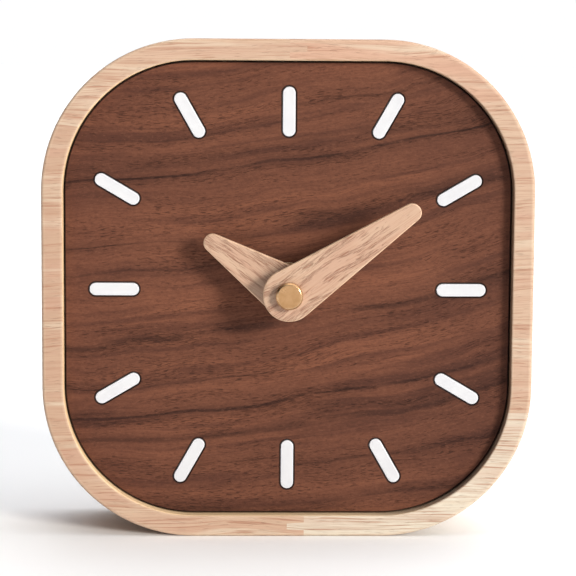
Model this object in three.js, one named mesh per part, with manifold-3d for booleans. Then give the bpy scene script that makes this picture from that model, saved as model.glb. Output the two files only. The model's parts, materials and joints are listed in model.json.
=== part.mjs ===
import * as THREE from 'three';
import { mergeVertices } from 'three/addons/utils/BufferGeometryUtils.js';
import Module from 'manifold-3d';

const wasm = await Module();
wasm.setup();

// A wooden desk clock with a quartz movement. Lengths are in millimetres and angles in degrees.
// X runs to the right, Y to the back and Z up, and the origin lies under the middle of the case.

// Case: a ring cut from one board, with a ledge inside that carries the dial
const caseWidth = 120;
const caseHeight = 122;
const caseDepth = 32;
const caseWall = 5.2;
const caseCornerRadius = 37.1;
const caseEdgeRound = 0.7;
const caseInnerChamfer = 0.5;
const dialRecess = 2.8;
const ledgeWidth = 2.8;

// Dial: a walnut panel with a thin backing board
const dialThickness = 3;
const backerThickness = 3;
const dialFit = 0.3;
const dialBoreClearance = 0.4;

// Markers: each ends at a gap from the case's inner wall
const markerLength = 12.1;
const markerWidth = 3.1;
const markerFit = 0.16;
const quarterMarkerGap = 6.25;
const cornerMarkerGap = 8;
const markerCount = 12;
const markersPerQuarter = 3;

// Hands: each a bar that tapers from a round hub to a small round tip
const handHubRadius = 6.3;
const handTipRadius = 2.2;
const minuteHandReach = 35.4;
const hourHandReach = 22;
const handThickness = 2;
const handEdgeRound = 0.3;
const minuteHandAngle = 55.7;
const hourHandAngle = 303.1;
const hourHandHeight = 5;
const minuteHandHeight = 10.8;
const handBushFlange = 0.7;
const handBushLength = 1.7;
const hourBushRadius = 3.4;
const hourBushFlangeRadius = 4.6;
const minuteBushRadius = 2.4;
const minuteBushFlangeRadius = 3.6;

// Cap nut on the minute hand
const capRadius = 3.25;
const capHeight = 2.2;
const capChamfer = 0.4;
const capBoreDepth = 1.5;

// Fastening of the movement to the dial
const bushingRadius = 4;
const bushingProud = 3.4;
const bushingFlangeRadius = 5.6;
const bushingFlange = 0.8;
const brassWasherRadius = 6.75;
const brassWasherThickness = 0.5;
const nutAcrossFlats = 11;
const nutThickness = 2.2;
const nutSides = 6;
const rubberWasherRadius = 10;
const rubberWasherThickness = 0.8;

// Movement housing
const housingWidth = 56;
const housingWall = 1.3;
const housingCornerRadius = 3;
const plateThickness = 1.5;
const housingJoint = 0.3;

// Shafts and running clearances
const hourPipeRadius = 2.5;
const pipeClearance = 0.35;
const minuteArborRadius = 1.45;
const minuteArborFlat = 1.15;
const minuteThreadRadius = 1.1;
const minuteStubRadius = 1.1;
const knobArborRadius = 1;
const pivotRadius = 0.4;
const runningClearance = 0.15;
const endClearance = 0.3;
const fastenClearance = 0.3;
const pressClearance = 0.05;
const pivotLength = 0.6;
const overrun = 1;

// Teeth of the wheels
const addendumShare = 0.75;
const dedendumShare = 1.05;
const toothRootShare = 0.56;
const toothTipShare = 0.24;

// Motion work, which drives the hour hand at a twelfth of the minute hand
const motionModule = 0.4;
const cannonTeeth = 10;
const minuteWheelTeeth = 30;
const minutePinionTeeth = 8;
const hourWheelTeeth = 32;
const knobPinionTeeth = 12;
const minuteWheelDirection = 60;
const knobDirection = 20;
const hourWheelThickness = 1.2;
const minuteWheelThickness = 1;
const pinionMargin = 0.2;

// Going train, which the rotor drives
const centreModule = 0.29;
const rotorModule = 0.29;
const centreWheelTeeth = 45;
const thirdPinionTeeth = 6;
const thirdWheelTeeth = 48;
const secondPinionTeeth = 6;
const secondWheelTeeth = 30;
const fifthPinionTeeth = 6;
const fifthWheelTeeth = 36;
const rotorPinionTeeth = 6;
const thirdDirection = 180;
const fifthDirection = 0;
const rotorDirection = -70;
const trainWheelThickness = 0.6;
const centreWheelThickness = 0.8;
const layerGap = 0.6;
const arborGap = 0.2825;
const middlePlateThickness = 1;
const middlePlateCornerRadius = 2;
const middlePlateWest = 16.5;
const middlePlateRise = 16.8;
const middlePlateDrop = 11.6;
const middlePlateTopGap = 1.9;
const knobPostGap = 0.3;
const postRadius = 1.5;
const postInset = 2.6;
const clutchThickness = 0.3;
const clutchRadius = 1.9;

// Stepping motor
const magnetRadius = 3;
const magnetThickness = 2;
const magnetRearGap = 1.3;
const statorAirGap = 0.6;
const statorBridge = 0.6;
const statorPostGap = 1.1;
const statorLegWidth = 4;
const statorThickness = 1;
const coreHeight = 3;
const coilMagnetGap = 2.4;
const coilBayGap = 1.1;
const bobbinWall = 0.6;
const bobbinFlange = 0.8;
const bobbinFlangeHeight = 5.8;
const bobbinFlangeDepth = 5;
const bobbinFit = 0.2;
const windingHeight = 5.4;
const windingDepth = 4.6;

// Electronics
const boardRise = 12;
const boardBayGap = 2;
const boardThickness = 0.8;
const boardEdgeGap = 1.2;
const boardPostGap = 2;
const chipWidth = 6;
const chipHeight = 5;
const chipThickness = 1.1;
const crystalRadius = 1;
const crystalLength = 6.2;

// Battery and its contacts
const batteryRadius = 7.25;
const batteryEndGap = 0.75;
const batteryNubRadius = 2.75;
const batteryNubLength = 1.4;
const batteryShoulder = 0.8;
const batteryClearance = 0.5;
const bayFloor = 1;
const bayRoof = 1.2;
const contactThickness = 0.4;
const contactWidth = 9;
const contactDrop = 11;
const contactBumpHeight = 5;
const contactBumpWidth = 4;
const contactTailWidth = 3;
const contactTailRise = 3;

// Setting knob
const knobRadius = 5.5;
const knobThickness = 3;
const knobRibs = 24;
const knobRibModule = 0.45;
const knobBoreDepth = 2;

// Facets of round forms: a full circle has twice as many sides as its steps
const cornerSteps = 6;
const roundSteps = 10;
const pivotSteps = 4;
const markerSteps = 3;
const edgeSteps = 2;
const crystalSides = 10;
const batterySides = 24;

// Planes from the front to the back
const axisHeight = caseHeight / 2;
const caseFront = -caseDepth / 2;
const caseBack = caseDepth / 2;
const dialFront = caseFront + dialRecess;
const dialBack = dialFront + dialThickness;
const backerBack = dialBack + backerThickness;
const plateFront = backerBack + rubberWasherThickness;
const plateBack = plateFront + plateThickness;
const washerFront = dialFront - brassWasherThickness;
const nutFront = washerFront - nutThickness;
const bushingFront = dialFront - bushingProud;
const hourHandBack = dialFront - hourHandHeight;
const hourHandFront = hourHandBack - handThickness;
const minuteHandBack = dialFront - minuteHandHeight;
const minuteHandFront = minuteHandBack - handThickness;
const capFront = minuteHandFront - capHeight;
const hourWheelFront = plateBack + endClearance;
const hourWheelBack = hourWheelFront + hourWheelThickness;
const cannonFront = hourWheelBack + endClearance;
const minuteWheelFront = cannonFront + pinionMargin;
const minuteWheelBack = minuteWheelFront + minuteWheelThickness;
const cannonBack = minuteWheelBack + pinionMargin;
const clutchBack = cannonBack + clutchThickness;
const centreWheelFront = clutchBack + endClearance;
const centreWheelBack = centreWheelFront + centreWheelThickness;
const middlePlateFront = centreWheelBack + endClearance;
const middlePlateBack = middlePlateFront + middlePlateThickness;
const thirdWheelFront = middlePlateBack + endClearance;
const thirdWheelBack = thirdWheelFront + trainWheelThickness;
const secondWheelFront = thirdWheelBack + layerGap;
const secondWheelBack = secondWheelFront + trainWheelThickness;
const fifthWheelFront = secondWheelBack + layerGap;
const fifthWheelBack = fifthWheelFront + trainWheelThickness;
const magnetFront = fifthWheelBack + endClearance + pinionMargin;
const statorFront = magnetFront + layerGap;
const statorBack = statorFront + statorThickness;
const housingInside = magnetFront + magnetThickness + magnetRearGap;
const housingBack = housingInside + housingWall;
const boardFront = housingInside - boardThickness;

// Length of the cell, which fills the bay between its contacts
const bayEndRoom = housingWall + fastenClearance + contactThickness + batteryEndGap;
const batteryLength = housingWidth - 2 * bayEndRoom;

const radians = THREE.MathUtils.degToRad;

// Outlines, drawn as seen from the front with X to the right and Z up

function circle(x, z, radius) {
  const outline = new THREE.Shape();
  outline.absarc(x, z, radius, 0, 2 * Math.PI, false);
  return outline;
}

function roundedRectangle(left, bottom, width, height, radius) {
  const right = left + width;
  const top = bottom + height;
  const outline = new THREE.Shape();
  outline.absarc(right - radius, bottom + radius, radius, -Math.PI / 2, 0, false);
  outline.absarc(right - radius, top - radius, radius, 0, Math.PI / 2, false);
  outline.absarc(left + radius, top - radius, radius, Math.PI / 2, Math.PI, false);
  outline.absarc(left + radius, bottom + radius, radius, Math.PI, 1.5 * Math.PI, false);
  outline.closePath();
  return outline;
}

// The case's outline drawn in by a distance, with its corners on the same centres
function caseOutline(inset) {
  return roundedRectangle(
    inset - caseWidth / 2,
    inset,
    caseWidth - 2 * inset,
    caseHeight - 2 * inset,
    caseCornerRadius - inset,
  );
}

// A bar with round ends of two radii, from one centre towards an angle
function taperedBar(x, z, startRadius, reach, angle, endRadius) {
  const tangent = Math.acos((startRadius - endRadius) / reach);
  const endX = x + reach * Math.cos(angle);
  const endZ = z + reach * Math.sin(angle);
  const outline = new THREE.Shape();
  outline.absarc(x, z, startRadius, angle + tangent, angle - tangent + 2 * Math.PI, false);
  outline.absarc(endX, endZ, endRadius, angle - tangent, angle + tangent, false);
  outline.closePath();
  return outline;
}

function polarPoint(x, z, radius, angle) {
  return new THREE.Vector2(x + radius * Math.cos(angle), z + radius * Math.sin(angle));
}

function polygon(x, z, acrossFlats, sides) {
  const cornerRadius = acrossFlats / 2 / Math.cos(Math.PI / sides);
  const corners = Array.from({ length: sides }, (_, corner) =>
    polarPoint(x, z, cornerRadius, (2 * Math.PI * corner) / sides),
  );
  return new THREE.Shape(corners);
}

// A round shaft with two flats
function doubleD(x, z, radius, flat) {
  const half = Math.acos(flat / radius);
  const outline = new THREE.Shape();
  outline.absarc(x, z, radius, half, Math.PI - half, false);
  outline.absarc(x, z, radius, Math.PI + half, 2 * Math.PI - half, false);
  outline.closePath();
  return outline;
}

function tipRadius(teeth, module) {
  return (teeth / 2 + addendumShare) * module;
}

// A toothed outline with straight flanks, its first tooth at the gear's phase
function gearOutline(gear) {
  const tip = tipRadius(gear.teeth, gear.module);
  const root = (gear.teeth / 2 - dedendumShare) * gear.module;
  const toothCorners = [
    [root, -toothRootShare],
    [tip, -toothTipShare],
    [tip, toothTipShare],
    [root, toothRootShare],
  ];
  const points = [];
  for (let tooth = 0; tooth < gear.teeth; tooth += 1) {
    for (const [radius, share] of toothCorners) {
      const angle = gear.phase + (Math.PI * (2 * tooth + share)) / gear.teeth;
      points.push(polarPoint(gear.x, gear.z, radius, angle));
    }
  }
  return new THREE.Shape(points);
}

// Solids

function solid(geometry) {
  const bare = geometry.clone();
  bare.deleteAttribute('normal');
  bare.deleteAttribute('uv');
  const merged = mergeVertices(bare);
  return new wasm.Manifold(
    new wasm.Mesh({
      numProp: 3,
      vertProperties: merged.attributes.position.array,
      triVerts: new Uint32Array(merged.index.array),
    }),
  );
}

// An outline given thickness between a front plane and a back plane
function slab(outline, front, back, steps = roundSteps) {
  const geometry = new THREE.ExtrudeGeometry(outline, {
    depth: back - front,
    bevelEnabled: false,
    curveSegments: steps,
  });
  return solid(geometry.rotateX(Math.PI / 2).translate(0, back, 0));
}

// The same, with its edges rounded inside the outline that is drawn in by the rounding
function roundedSlab(outline, front, back, round, bevelSteps, steps = roundSteps) {
  const geometry = new THREE.ExtrudeGeometry(outline, {
    depth: back - front - 2 * round,
    bevelThickness: round,
    bevelSize: round,
    bevelSegments: bevelSteps,
    curveSegments: steps,
  });
  return solid(geometry.rotateX(Math.PI / 2).translate(0, back - round, 0));
}

function block(left, right, front, back, bottom, top) {
  const geometry = new THREE.BoxGeometry(right - left, back - front, top - bottom);
  return solid(geometry.translate((left + right) / 2, (front + back) / 2, (bottom + top) / 2));
}

function rod(at, radius, front, back, steps = roundSteps) {
  return slab(circle(at.x, at.z, radius), front, back, steps);
}

function tube(at, radius, boreRadius, front, back, steps = roundSteps) {
  const outline = circle(at.x, at.z, radius);
  outline.holes.push(circle(at.x, at.z, boreRadius));
  return slab(outline, front, back, steps);
}

function gearSolid(gear, front, back) {
  return slab(gearOutline(gear), front, back);
}

// A cylinder along X, centred on a point
function lyingCylinder(radius, length, x, y, z) {
  const geometry = new THREE.CylinderGeometry(radius, radius, length, batterySides);
  return solid(geometry.rotateZ(-Math.PI / 2).translate(x, y, z));
}

// A cylinder along Z, centred on a point
function standingCylinder(radius, length, x, y, z) {
  const geometry = new THREE.CylinderGeometry(radius, radius, length, crystalSides);
  return solid(geometry.rotateX(Math.PI / 2).translate(x, y, z));
}

function join(...solids) {
  return solids.reduce((sum, next) => sum.add(next));
}

function cut(body, ...tools) {
  return tools.reduce((rest, tool) => rest.subtract(tool), body);
}

// Materials

function material(color, roughness, metalness = 0) {
  return new THREE.MeshStandardMaterial({ color, roughness, metalness });
}

const materials = {
  caseWood: material(0xdebb9d, 0.55),
  walnut: material(0x6f4536, 0.6),
  plywood: material(0xd2b48a, 0.7),
  handWood: material(0xdbb499, 0.55),
  acrylic: material(0xf4f4f2, 0.3),
  brass: material(0xc9a25f, 0.35, 1),
  steel: material(0xb9bcc0, 0.35, 1),
  nickel: material(0xcfcfca, 0.25, 1),
  magnet: material(0x4a4a4d, 0.5, 0.6),
  copper: material(0xb46a3c, 0.4, 0.8),
  blackPlastic: material(0x1d1d1f, 0.5),
  whitePlastic: material(0xe9e7e0, 0.45),
  rubber: material(0x232323, 0.85),
  board: material(0x2f6b3f, 0.6),
  resin: material(0x121214, 0.4),
  batterySleeve: material(0x3d4a57, 0.35),
};

const clock = new THREE.Group();

function addPiece(name, body, finish) {
  const mesh = body.getMesh();
  const geometry = new THREE.BufferGeometry();
  geometry.setAttribute('position', new THREE.BufferAttribute(mesh.vertProperties, mesh.numProp));
  geometry.setIndex(new THREE.BufferAttribute(mesh.triVerts, 1));
  geometry.computeVertexNormals();
  const piece = new THREE.Mesh(geometry, finish);
  piece.name = name;
  clock.add(piece);
}

// Places of the arbors

const axis = { x: 0, z: axisHeight };

function beside(place, distance, direction) {
  return {
    x: place.x + distance * Math.cos(radians(direction)),
    z: place.z + distance * Math.sin(radians(direction)),
  };
}

function gearAt(place, teeth, module, phase = 0) {
  return { x: place.x, z: place.z, teeth, module, phase };
}

// A gear turned so that its gap meets the tooth of the gear it meshes with
function meshed(gear, driver) {
  const towards = Math.atan2(gear.z - driver.z, gear.x - driver.x);
  const driverShare = (driver.teeth * (towards - driver.phase)) / (2 * Math.PI);
  const phase = towards + Math.PI - (2 * Math.PI * (0.5 - driverShare)) / gear.teeth;
  return { ...gear, phase };
}

const motionDistance = ((cannonTeeth + minuteWheelTeeth) * motionModule) / 2;
const knobDistance = ((minuteWheelTeeth + knobPinionTeeth) * motionModule) / 2;
const thirdDistance = ((centreWheelTeeth + thirdPinionTeeth) * centreModule) / 2;
const thirdModule = (2 * thirdDistance) / (thirdWheelTeeth + secondPinionTeeth);
const fifthDistance = tipRadius(fifthWheelTeeth, rotorModule) + pivotRadius + arborGap;
const fifthModule = (2 * fifthDistance) / (secondWheelTeeth + fifthPinionTeeth);
const rotorDistance = ((fifthWheelTeeth + rotorPinionTeeth) * rotorModule) / 2;

const minuteWheelPlace = beside(axis, motionDistance, minuteWheelDirection);
const knobPlace = beside(minuteWheelPlace, knobDistance, knobDirection);
const thirdPlace = beside(axis, thirdDistance, thirdDirection);
const fifthPlace = beside(axis, fifthDistance, fifthDirection);
const rotorPlace = beside(fifthPlace, rotorDistance, rotorDirection);

const cannonGear = gearAt(axis, cannonTeeth, motionModule);
const minuteGear = meshed(gearAt(minuteWheelPlace, minuteWheelTeeth, motionModule), cannonGear);
const minutePinionGear = gearAt(minuteWheelPlace, minutePinionTeeth, motionModule, minuteGear.phase);
const hourGear = meshed(gearAt(axis, hourWheelTeeth, motionModule), minutePinionGear);
const knobGear = meshed(gearAt(knobPlace, knobPinionTeeth, motionModule), minuteGear);

const centreGear = gearAt(axis, centreWheelTeeth, centreModule);
const thirdPinionGear = meshed(gearAt(thirdPlace, thirdPinionTeeth, centreModule), centreGear);
const thirdGear = gearAt(thirdPlace, thirdWheelTeeth, thirdModule, thirdPinionGear.phase);
const secondPinionGear = meshed(gearAt(axis, secondPinionTeeth, thirdModule), thirdGear);
const secondGear = gearAt(axis, secondWheelTeeth, fifthModule, secondPinionGear.phase);
const fifthPinionGear = meshed(gearAt(fifthPlace, fifthPinionTeeth, fifthModule), secondGear);
const fifthGear = gearAt(fifthPlace, fifthWheelTeeth, rotorModule, fifthPinionGear.phase);
const rotorGear = meshed(gearAt(rotorPlace, rotorPinionTeeth, rotorModule), fifthGear);

// Case and dial

// Widens an opening towards its mouth, with the narrow end a chamfer behind the start plane
function chamferCutter(outline, start) {
  const geometry = new THREE.ExtrudeGeometry(outline, {
    depth: overrun,
    bevelThickness: caseInnerChamfer,
    bevelSize: caseInnerChamfer,
    bevelSegments: 1,
    curveSegments: cornerSteps,
  });
  return solid(geometry.rotateX(Math.PI / 2).translate(0, start, 0));
}

function buildCase() {
  const board = roundedSlab(
    caseOutline(caseEdgeRound), caseFront, caseBack, caseEdgeRound, edgeSteps, cornerSteps,
  );
  const opening = caseOutline(caseWall);
  const rearOpening = caseOutline(caseWall + ledgeWidth);
  const ring = cut(
    board,
    slab(opening, caseFront - overrun, backerBack, cornerSteps),
    slab(rearOpening, caseFront, caseBack + overrun, cornerSteps),
    chamferCutter(opening, caseFront),
    chamferCutter(rearOpening, caseBack + overrun),
  );
  addPiece('case_ring', ring, materials.caseWood);
}

// How far the case's inner wall is from the hands' axis in a direction
function wallReach(angle) {
  const across = Math.abs(Math.cos(angle));
  const up = Math.abs(Math.sin(angle));
  const cornerX = caseWidth / 2 - caseCornerRadius;
  const cornerZ = caseHeight / 2 - caseCornerRadius;
  const sideReach = (caseWidth / 2 - caseWall) / across;
  if (sideReach * up <= cornerZ) {
    return sideReach;
  }
  const topReach = (caseHeight / 2 - caseWall) / up;
  if (topReach * across <= cornerX) {
    return topReach;
  }
  const along = cornerX * across + cornerZ * up;
  const aside = cornerX * up - cornerZ * across;
  return along + Math.sqrt((caseCornerRadius - caseWall) ** 2 - aside ** 2);
}

// A marker's direction, on a dial that is as much taller than wide as the case
function markerAngle(hour) {
  const even = (2 * Math.PI * hour) / markerCount;
  return Math.atan2(caseHeight * Math.cos(even), caseWidth * Math.sin(even));
}

// A marker's outline, grown all round by a margin
function markerOutline(hour, margin) {
  const angle = markerAngle(hour);
  const gap = hour % markersPerQuarter === 0 ? quarterMarkerGap : cornerMarkerGap;
  const innerEnd = wallReach(angle) - gap - markerLength;
  const start = polarPoint(axis.x, axis.z, innerEnd + markerWidth / 2, angle);
  const endRadius = markerWidth / 2 + margin;
  return taperedBar(start.x, start.y, endRadius, markerLength - markerWidth, angle, endRadius);
}

function buildDial() {
  const outline = caseOutline(caseWall + dialFit);
  outline.holes.push(circle(axis.x, axis.z, bushingRadius + dialBoreClearance));
  let panel = slab(outline, dialFront, dialBack, cornerSteps);
  for (let hour = 1; hour <= markerCount; hour += 1) {
    const slot = markerOutline(hour, markerFit);
    panel = cut(panel, slab(slot, dialFront - overrun, dialBack + overrun, markerSteps));
  }
  addPiece('dial_panel', panel, materials.walnut);
  addPiece('dial_backer', slab(outline, dialBack, backerBack, cornerSteps), materials.plywood);
}

function buildMarkers() {
  for (let hour = 1; hour <= markerCount; hour += 1) {
    const name = `marker_${String(hour).padStart(2, '0')}`;
    const body = slab(markerOutline(hour, 0), dialFront, dialBack, markerSteps);
    addPiece(name, body, materials.acrylic);
  }
}

// Hands

function handAngle(clockwise) {
  return Math.PI / 2 - radians(clockwise);
}

function handSolid(reach, clockwise, front, back, boreRadius) {
  const outline = taperedBar(
    axis.x, axis.z, handHubRadius - handEdgeRound, reach, handAngle(clockwise),
    handTipRadius - handEdgeRound,
  );
  const body = roundedSlab(outline, front, back, handEdgeRound, edgeSteps);
  return cut(body, rod(axis, boreRadius, front - overrun, back + overrun));
}

// A collar with a flange behind the hand and a bore for the shaft
function handBush(radius, flangeRadius, handBack, boreRadius) {
  return cut(
    join(
      rod(axis, radius, handBack - handBushLength, handBack + handBushFlange),
      rod(axis, flangeRadius, handBack, handBack + handBushFlange),
    ),
    rod(axis, boreRadius, minuteHandFront, plateBack),
  );
}

function buildHands() {
  const hourBore = hourBushRadius + pressClearance;
  const minuteBore = minuteBushRadius + pressClearance;
  const hourHand = handSolid(hourHandReach, hourHandAngle, hourHandFront, hourHandBack, hourBore);
  const minuteHand = handSolid(
    minuteHandReach, minuteHandAngle, minuteHandFront, minuteHandBack, minuteBore,
  );
  const hourBush = handBush(
    hourBushRadius, hourBushFlangeRadius, hourHandBack, hourPipeRadius + pressClearance,
  );
  const minuteBush = handBush(
    minuteBushRadius, minuteBushFlangeRadius, minuteHandBack, minuteArborRadius + pressClearance,
  );
  addPiece('hour_hand', hourHand, materials.handWood);
  addPiece('minute_hand', minuteHand, materials.handWood);
  addPiece('hour_hand_bush', hourBush, materials.brass);
  addPiece('minute_hand_bush', minuteBush, materials.brass);
}

function buildCap() {
  const outline = circle(axis.x, axis.z, capRadius - capChamfer);
  const body = roundedSlab(outline, capFront, minuteHandFront, capChamfer, 1);
  const bore = rod(
    axis, minuteThreadRadius + pressClearance, minuteHandFront - capBoreDepth,
    minuteHandFront + overrun,
  );
  addPiece('hand_cap', cut(body, bore), materials.brass);
}

// Parts that hold the movement to the dial

function buildFastening() {
  const bushing = cut(
    join(
      rod(axis, bushingRadius, bushingFront, plateBack),
      rod(axis, bushingFlangeRadius, plateBack - bushingFlange, plateBack),
    ),
    rod(axis, hourPipeRadius + fastenClearance, bushingFront - overrun, plateBack + overrun),
  );
  const bore = bushingRadius + fastenClearance;
  const nut = polygon(axis.x, axis.z, nutAcrossFlats, nutSides);
  nut.holes.push(circle(axis.x, axis.z, bushingRadius + pressClearance));
  const washer = tube(axis, brassWasherRadius, bore, washerFront, dialFront);
  const rubber = tube(axis, rubberWasherRadius, bore, backerBack, plateFront);
  addPiece('threaded_bushing', bushing, materials.brass);
  addPiece('hex_nut', slab(nut, nutFront, washerFront), materials.brass);
  addPiece('brass_washer', washer, materials.brass);
  addPiece('rubber_washer', rubber, materials.rubber);
}

// Wheels and pinions

function pivot(place, front, back) {
  return rod(place, pivotRadius, front, back, pivotSteps);
}

// A hole for a pivot, sunk from one plane to another
function pivotHole(place, front, back) {
  return rod(place, pivotRadius + runningClearance, front, back, pivotSteps);
}

function buildMotionWork() {
  const hourWheel = cut(
    join(
      gearSolid(hourGear, hourWheelFront, hourWheelBack),
      rod(axis, hourPipeRadius, hourHandBack - handBushLength, hourWheelBack),
    ),
    rod(axis, minuteArborRadius + pipeClearance, hourHandFront, hourWheelBack + overrun),
  );
  const minuteWheel = join(
    gearSolid(minuteGear, minuteWheelFront, minuteWheelBack),
    gearSolid(minutePinionGear, hourWheelFront, minuteWheelBack),
    pivot(minuteWheelPlace, plateBack - pivotLength, middlePlateFront + pivotLength),
  );
  const knobArbor = join(
    gearSolid(knobGear, cannonFront, cannonBack),
    rod(knobPlace, knobArborRadius, cannonFront, housingBack + endClearance + knobBoreDepth),
    pivot(knobPlace, plateBack - pivotLength, cannonBack),
  );
  const clutch = tube(axis, clutchRadius, minuteStubRadius + pressClearance, cannonBack, clutchBack);
  addPiece('hour_wheel', hourWheel, materials.whitePlastic);
  addPiece('minute_wheel', minuteWheel, materials.whitePlastic);
  addPiece('setting_arbor', knobArbor, materials.whitePlastic);
  addPiece('clutch_washer', clutch, materials.brass);
}

function buildMinuteArbor() {
  const round = rod(axis, minuteArborRadius, minuteHandBack, cannonBack);
  const flats = slab(
    doubleD(axis.x, axis.z, minuteArborRadius, minuteArborFlat), minuteHandFront, cannonBack,
  );
  const thread = rod(
    axis, minuteThreadRadius, minuteHandFront - capBoreDepth + endClearance, cannonBack,
  );
  const stub = rod(axis, minuteStubRadius, cannonFront, middlePlateBack - endClearance);
  const bore = rod(
    axis, pivotRadius + runningClearance, centreWheelFront, middlePlateBack, pivotSteps,
  );
  const body = join(gearSolid(cannonGear, cannonFront, cannonBack), round, flats, thread, stub);
  addPiece('minute_arbor', cut(body, bore), materials.steel);
}

function buildTrain() {
  const rearEnd = housingInside + pivotLength / 2;
  const centreWheel = cut(
    gearSolid(centreGear, centreWheelFront, centreWheelBack),
    rod(axis, minuteStubRadius + runningClearance, cannonBack, middlePlateBack),
  );
  const thirdWheel = join(
    gearSolid(thirdGear, thirdWheelFront, thirdWheelBack),
    gearSolid(thirdPinionGear, centreWheelFront, centreWheelBack + pinionMargin),
    pivot(thirdPlace, plateBack - pivotLength, rearEnd),
  );
  const secondWheel = join(
    gearSolid(secondGear, secondWheelFront, secondWheelBack),
    gearSolid(secondPinionGear, thirdWheelFront - pinionMargin / 2, secondWheelBack),
    pivot(axis, centreWheelBack, rearEnd),
  );
  const fifthWheel = join(
    gearSolid(fifthGear, fifthWheelFront, fifthWheelBack),
    gearSolid(fifthPinionGear, secondWheelFront - pinionMargin, fifthWheelBack),
    pivot(fifthPlace, middlePlateBack - pivotLength, rearEnd),
  );
  const rotorPinion = join(
    gearSolid(rotorGear, fifthWheelFront - pinionMargin, fifthWheelBack + pinionMargin),
    pivot(rotorPlace, middlePlateBack - pivotLength, rearEnd),
  );
  const magnet = tube(
    rotorPlace, magnetRadius, pivotRadius + pressClearance, magnetFront, magnetFront + magnetThickness,
  );
  addPiece('centre_wheel', centreWheel, materials.whitePlastic);
  addPiece('third_wheel', thirdWheel, materials.whitePlastic);
  addPiece('second_wheel', secondWheel, materials.whitePlastic);
  addPiece('fifth_wheel', fifthWheel, materials.whitePlastic);
  addPiece('rotor_pinion', rotorPinion, materials.whitePlastic);
  addPiece('rotor_magnet', magnet, materials.magnet);
}

// Stepping motor and electronics

const statorBoreRadius = magnetRadius + statorAirGap;
const statorLeft = thirdPlace.x + postRadius + statorPostGap;
const statorRight = 2 * rotorPlace.x - statorLeft;
const coreMiddle = rotorPlace.z - magnetRadius - coilMagnetGap - bobbinFlangeHeight / 2;
const gearRoomBottom = coreMiddle - bobbinFlangeHeight / 2 - coilBayGap;
const coreFront = statorFront - statorThickness;
const coreCentre = (coreFront + statorFront) / 2;

function buildStator() {
  const barTop = rotorPlace.z + statorBoreRadius + statorBridge;
  const barBottom = rotorPlace.z - statorBoreRadius - statorBridge;
  const legBottom = coreMiddle - coreHeight / 2;
  const stator = cut(
    join(
      block(statorLeft, statorRight, statorFront, statorBack, barBottom, barTop),
      block(statorLeft, statorLeft + statorLegWidth, statorFront, statorBack, legBottom, barTop),
      block(statorRight - statorLegWidth, statorRight, statorFront, statorBack, legBottom, barTop),
    ),
    rod(rotorPlace, statorBoreRadius, statorFront - overrun, statorBack + overrun),
  );
  const core = block(
    statorLeft, statorRight, coreFront, statorFront, legBottom, legBottom + coreHeight,
  );
  addPiece('stator', stator, materials.steel);
  addPiece('coil_core', core, materials.steel);
}

// A block along X around the core, given by its height and depth
function aroundCore(left, right, height, depth) {
  return block(
    left, right, coreCentre - depth / 2, coreCentre + depth / 2,
    coreMiddle - height / 2, coreMiddle + height / 2,
  );
}

function buildCoil() {
  const left = statorLeft + statorLegWidth + fastenClearance;
  const right = statorRight - statorLegWidth - fastenClearance;
  const holeHeight = coreHeight + 2 * bobbinFit;
  const holeDepth = statorThickness + 2 * bobbinFit;
  const sleeveHeight = holeHeight + 2 * bobbinWall;
  const sleeveDepth = holeDepth + 2 * bobbinWall;
  const bobbin = cut(
    join(
      aroundCore(left, right, sleeveHeight, sleeveDepth),
      aroundCore(left, left + bobbinFlange, bobbinFlangeHeight, bobbinFlangeDepth),
      aroundCore(right - bobbinFlange, right, bobbinFlangeHeight, bobbinFlangeDepth),
    ),
    aroundCore(left - overrun, right + overrun, holeHeight, holeDepth),
  );
  const windingLeft = left + bobbinFlange + pressClearance;
  const windingRight = right - bobbinFlange - pressClearance;
  const winding = cut(
    aroundCore(windingLeft, windingRight, windingHeight, windingDepth),
    aroundCore(
      left, right, sleeveHeight + 2 * pressClearance, sleeveDepth + 2 * pressClearance,
    ),
  );
  addPiece('coil_bobbin', bobbin, materials.blackPlastic);
  addPiece('coil_winding', winding, materials.copper);
}

function buildElectronics() {
  const left = housingWall + boardEdgeGap - housingWidth / 2;
  const right = thirdPlace.x - postRadius - boardPostGap;
  const middle = (left + right) / 2;
  const bottom = gearRoomBottom + boardBayGap;
  const top = axisHeight + boardRise;
  const board = block(left, right, boardFront, housingInside, bottom, top);
  const chip = block(
    middle - chipWidth / 2, middle + chipWidth / 2, boardFront - chipThickness, boardFront,
    axisHeight - chipHeight / 2, axisHeight + chipHeight / 2,
  );
  const crystal = standingCylinder(
    crystalRadius, crystalLength, middle, boardFront - crystalRadius - pressClearance,
    (top + axisHeight + chipHeight / 2) / 2,
  );
  addPiece('circuit_board', board, materials.board);
  addPiece('ic_cover', chip, materials.resin);
  addPiece('quartz_crystal', crystal, materials.nickel);
}

// Housing of the movement

const housingLeft = -housingWidth / 2;
const housingRight = housingWidth / 2;
const middlePlateTop = axisHeight + middlePlateRise;
const housingTop = middlePlateTop + middlePlateTopGap + housingWall;
const bayTop = gearRoomBottom - bayRoof;
const bayBottom = bayTop - 2 * (batteryRadius + batteryClearance);
const housingBottom = bayBottom - housingWall;
const bayFront = plateFront + bayFloor;
const bayMiddle = (bayTop + bayBottom) / 2;
const batteryCentre = bayFront + fastenClearance + batteryRadius;
const contactOuter = housingRight - housingWall - fastenClearance;
const contactInner = contactOuter - contactThickness;

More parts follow.
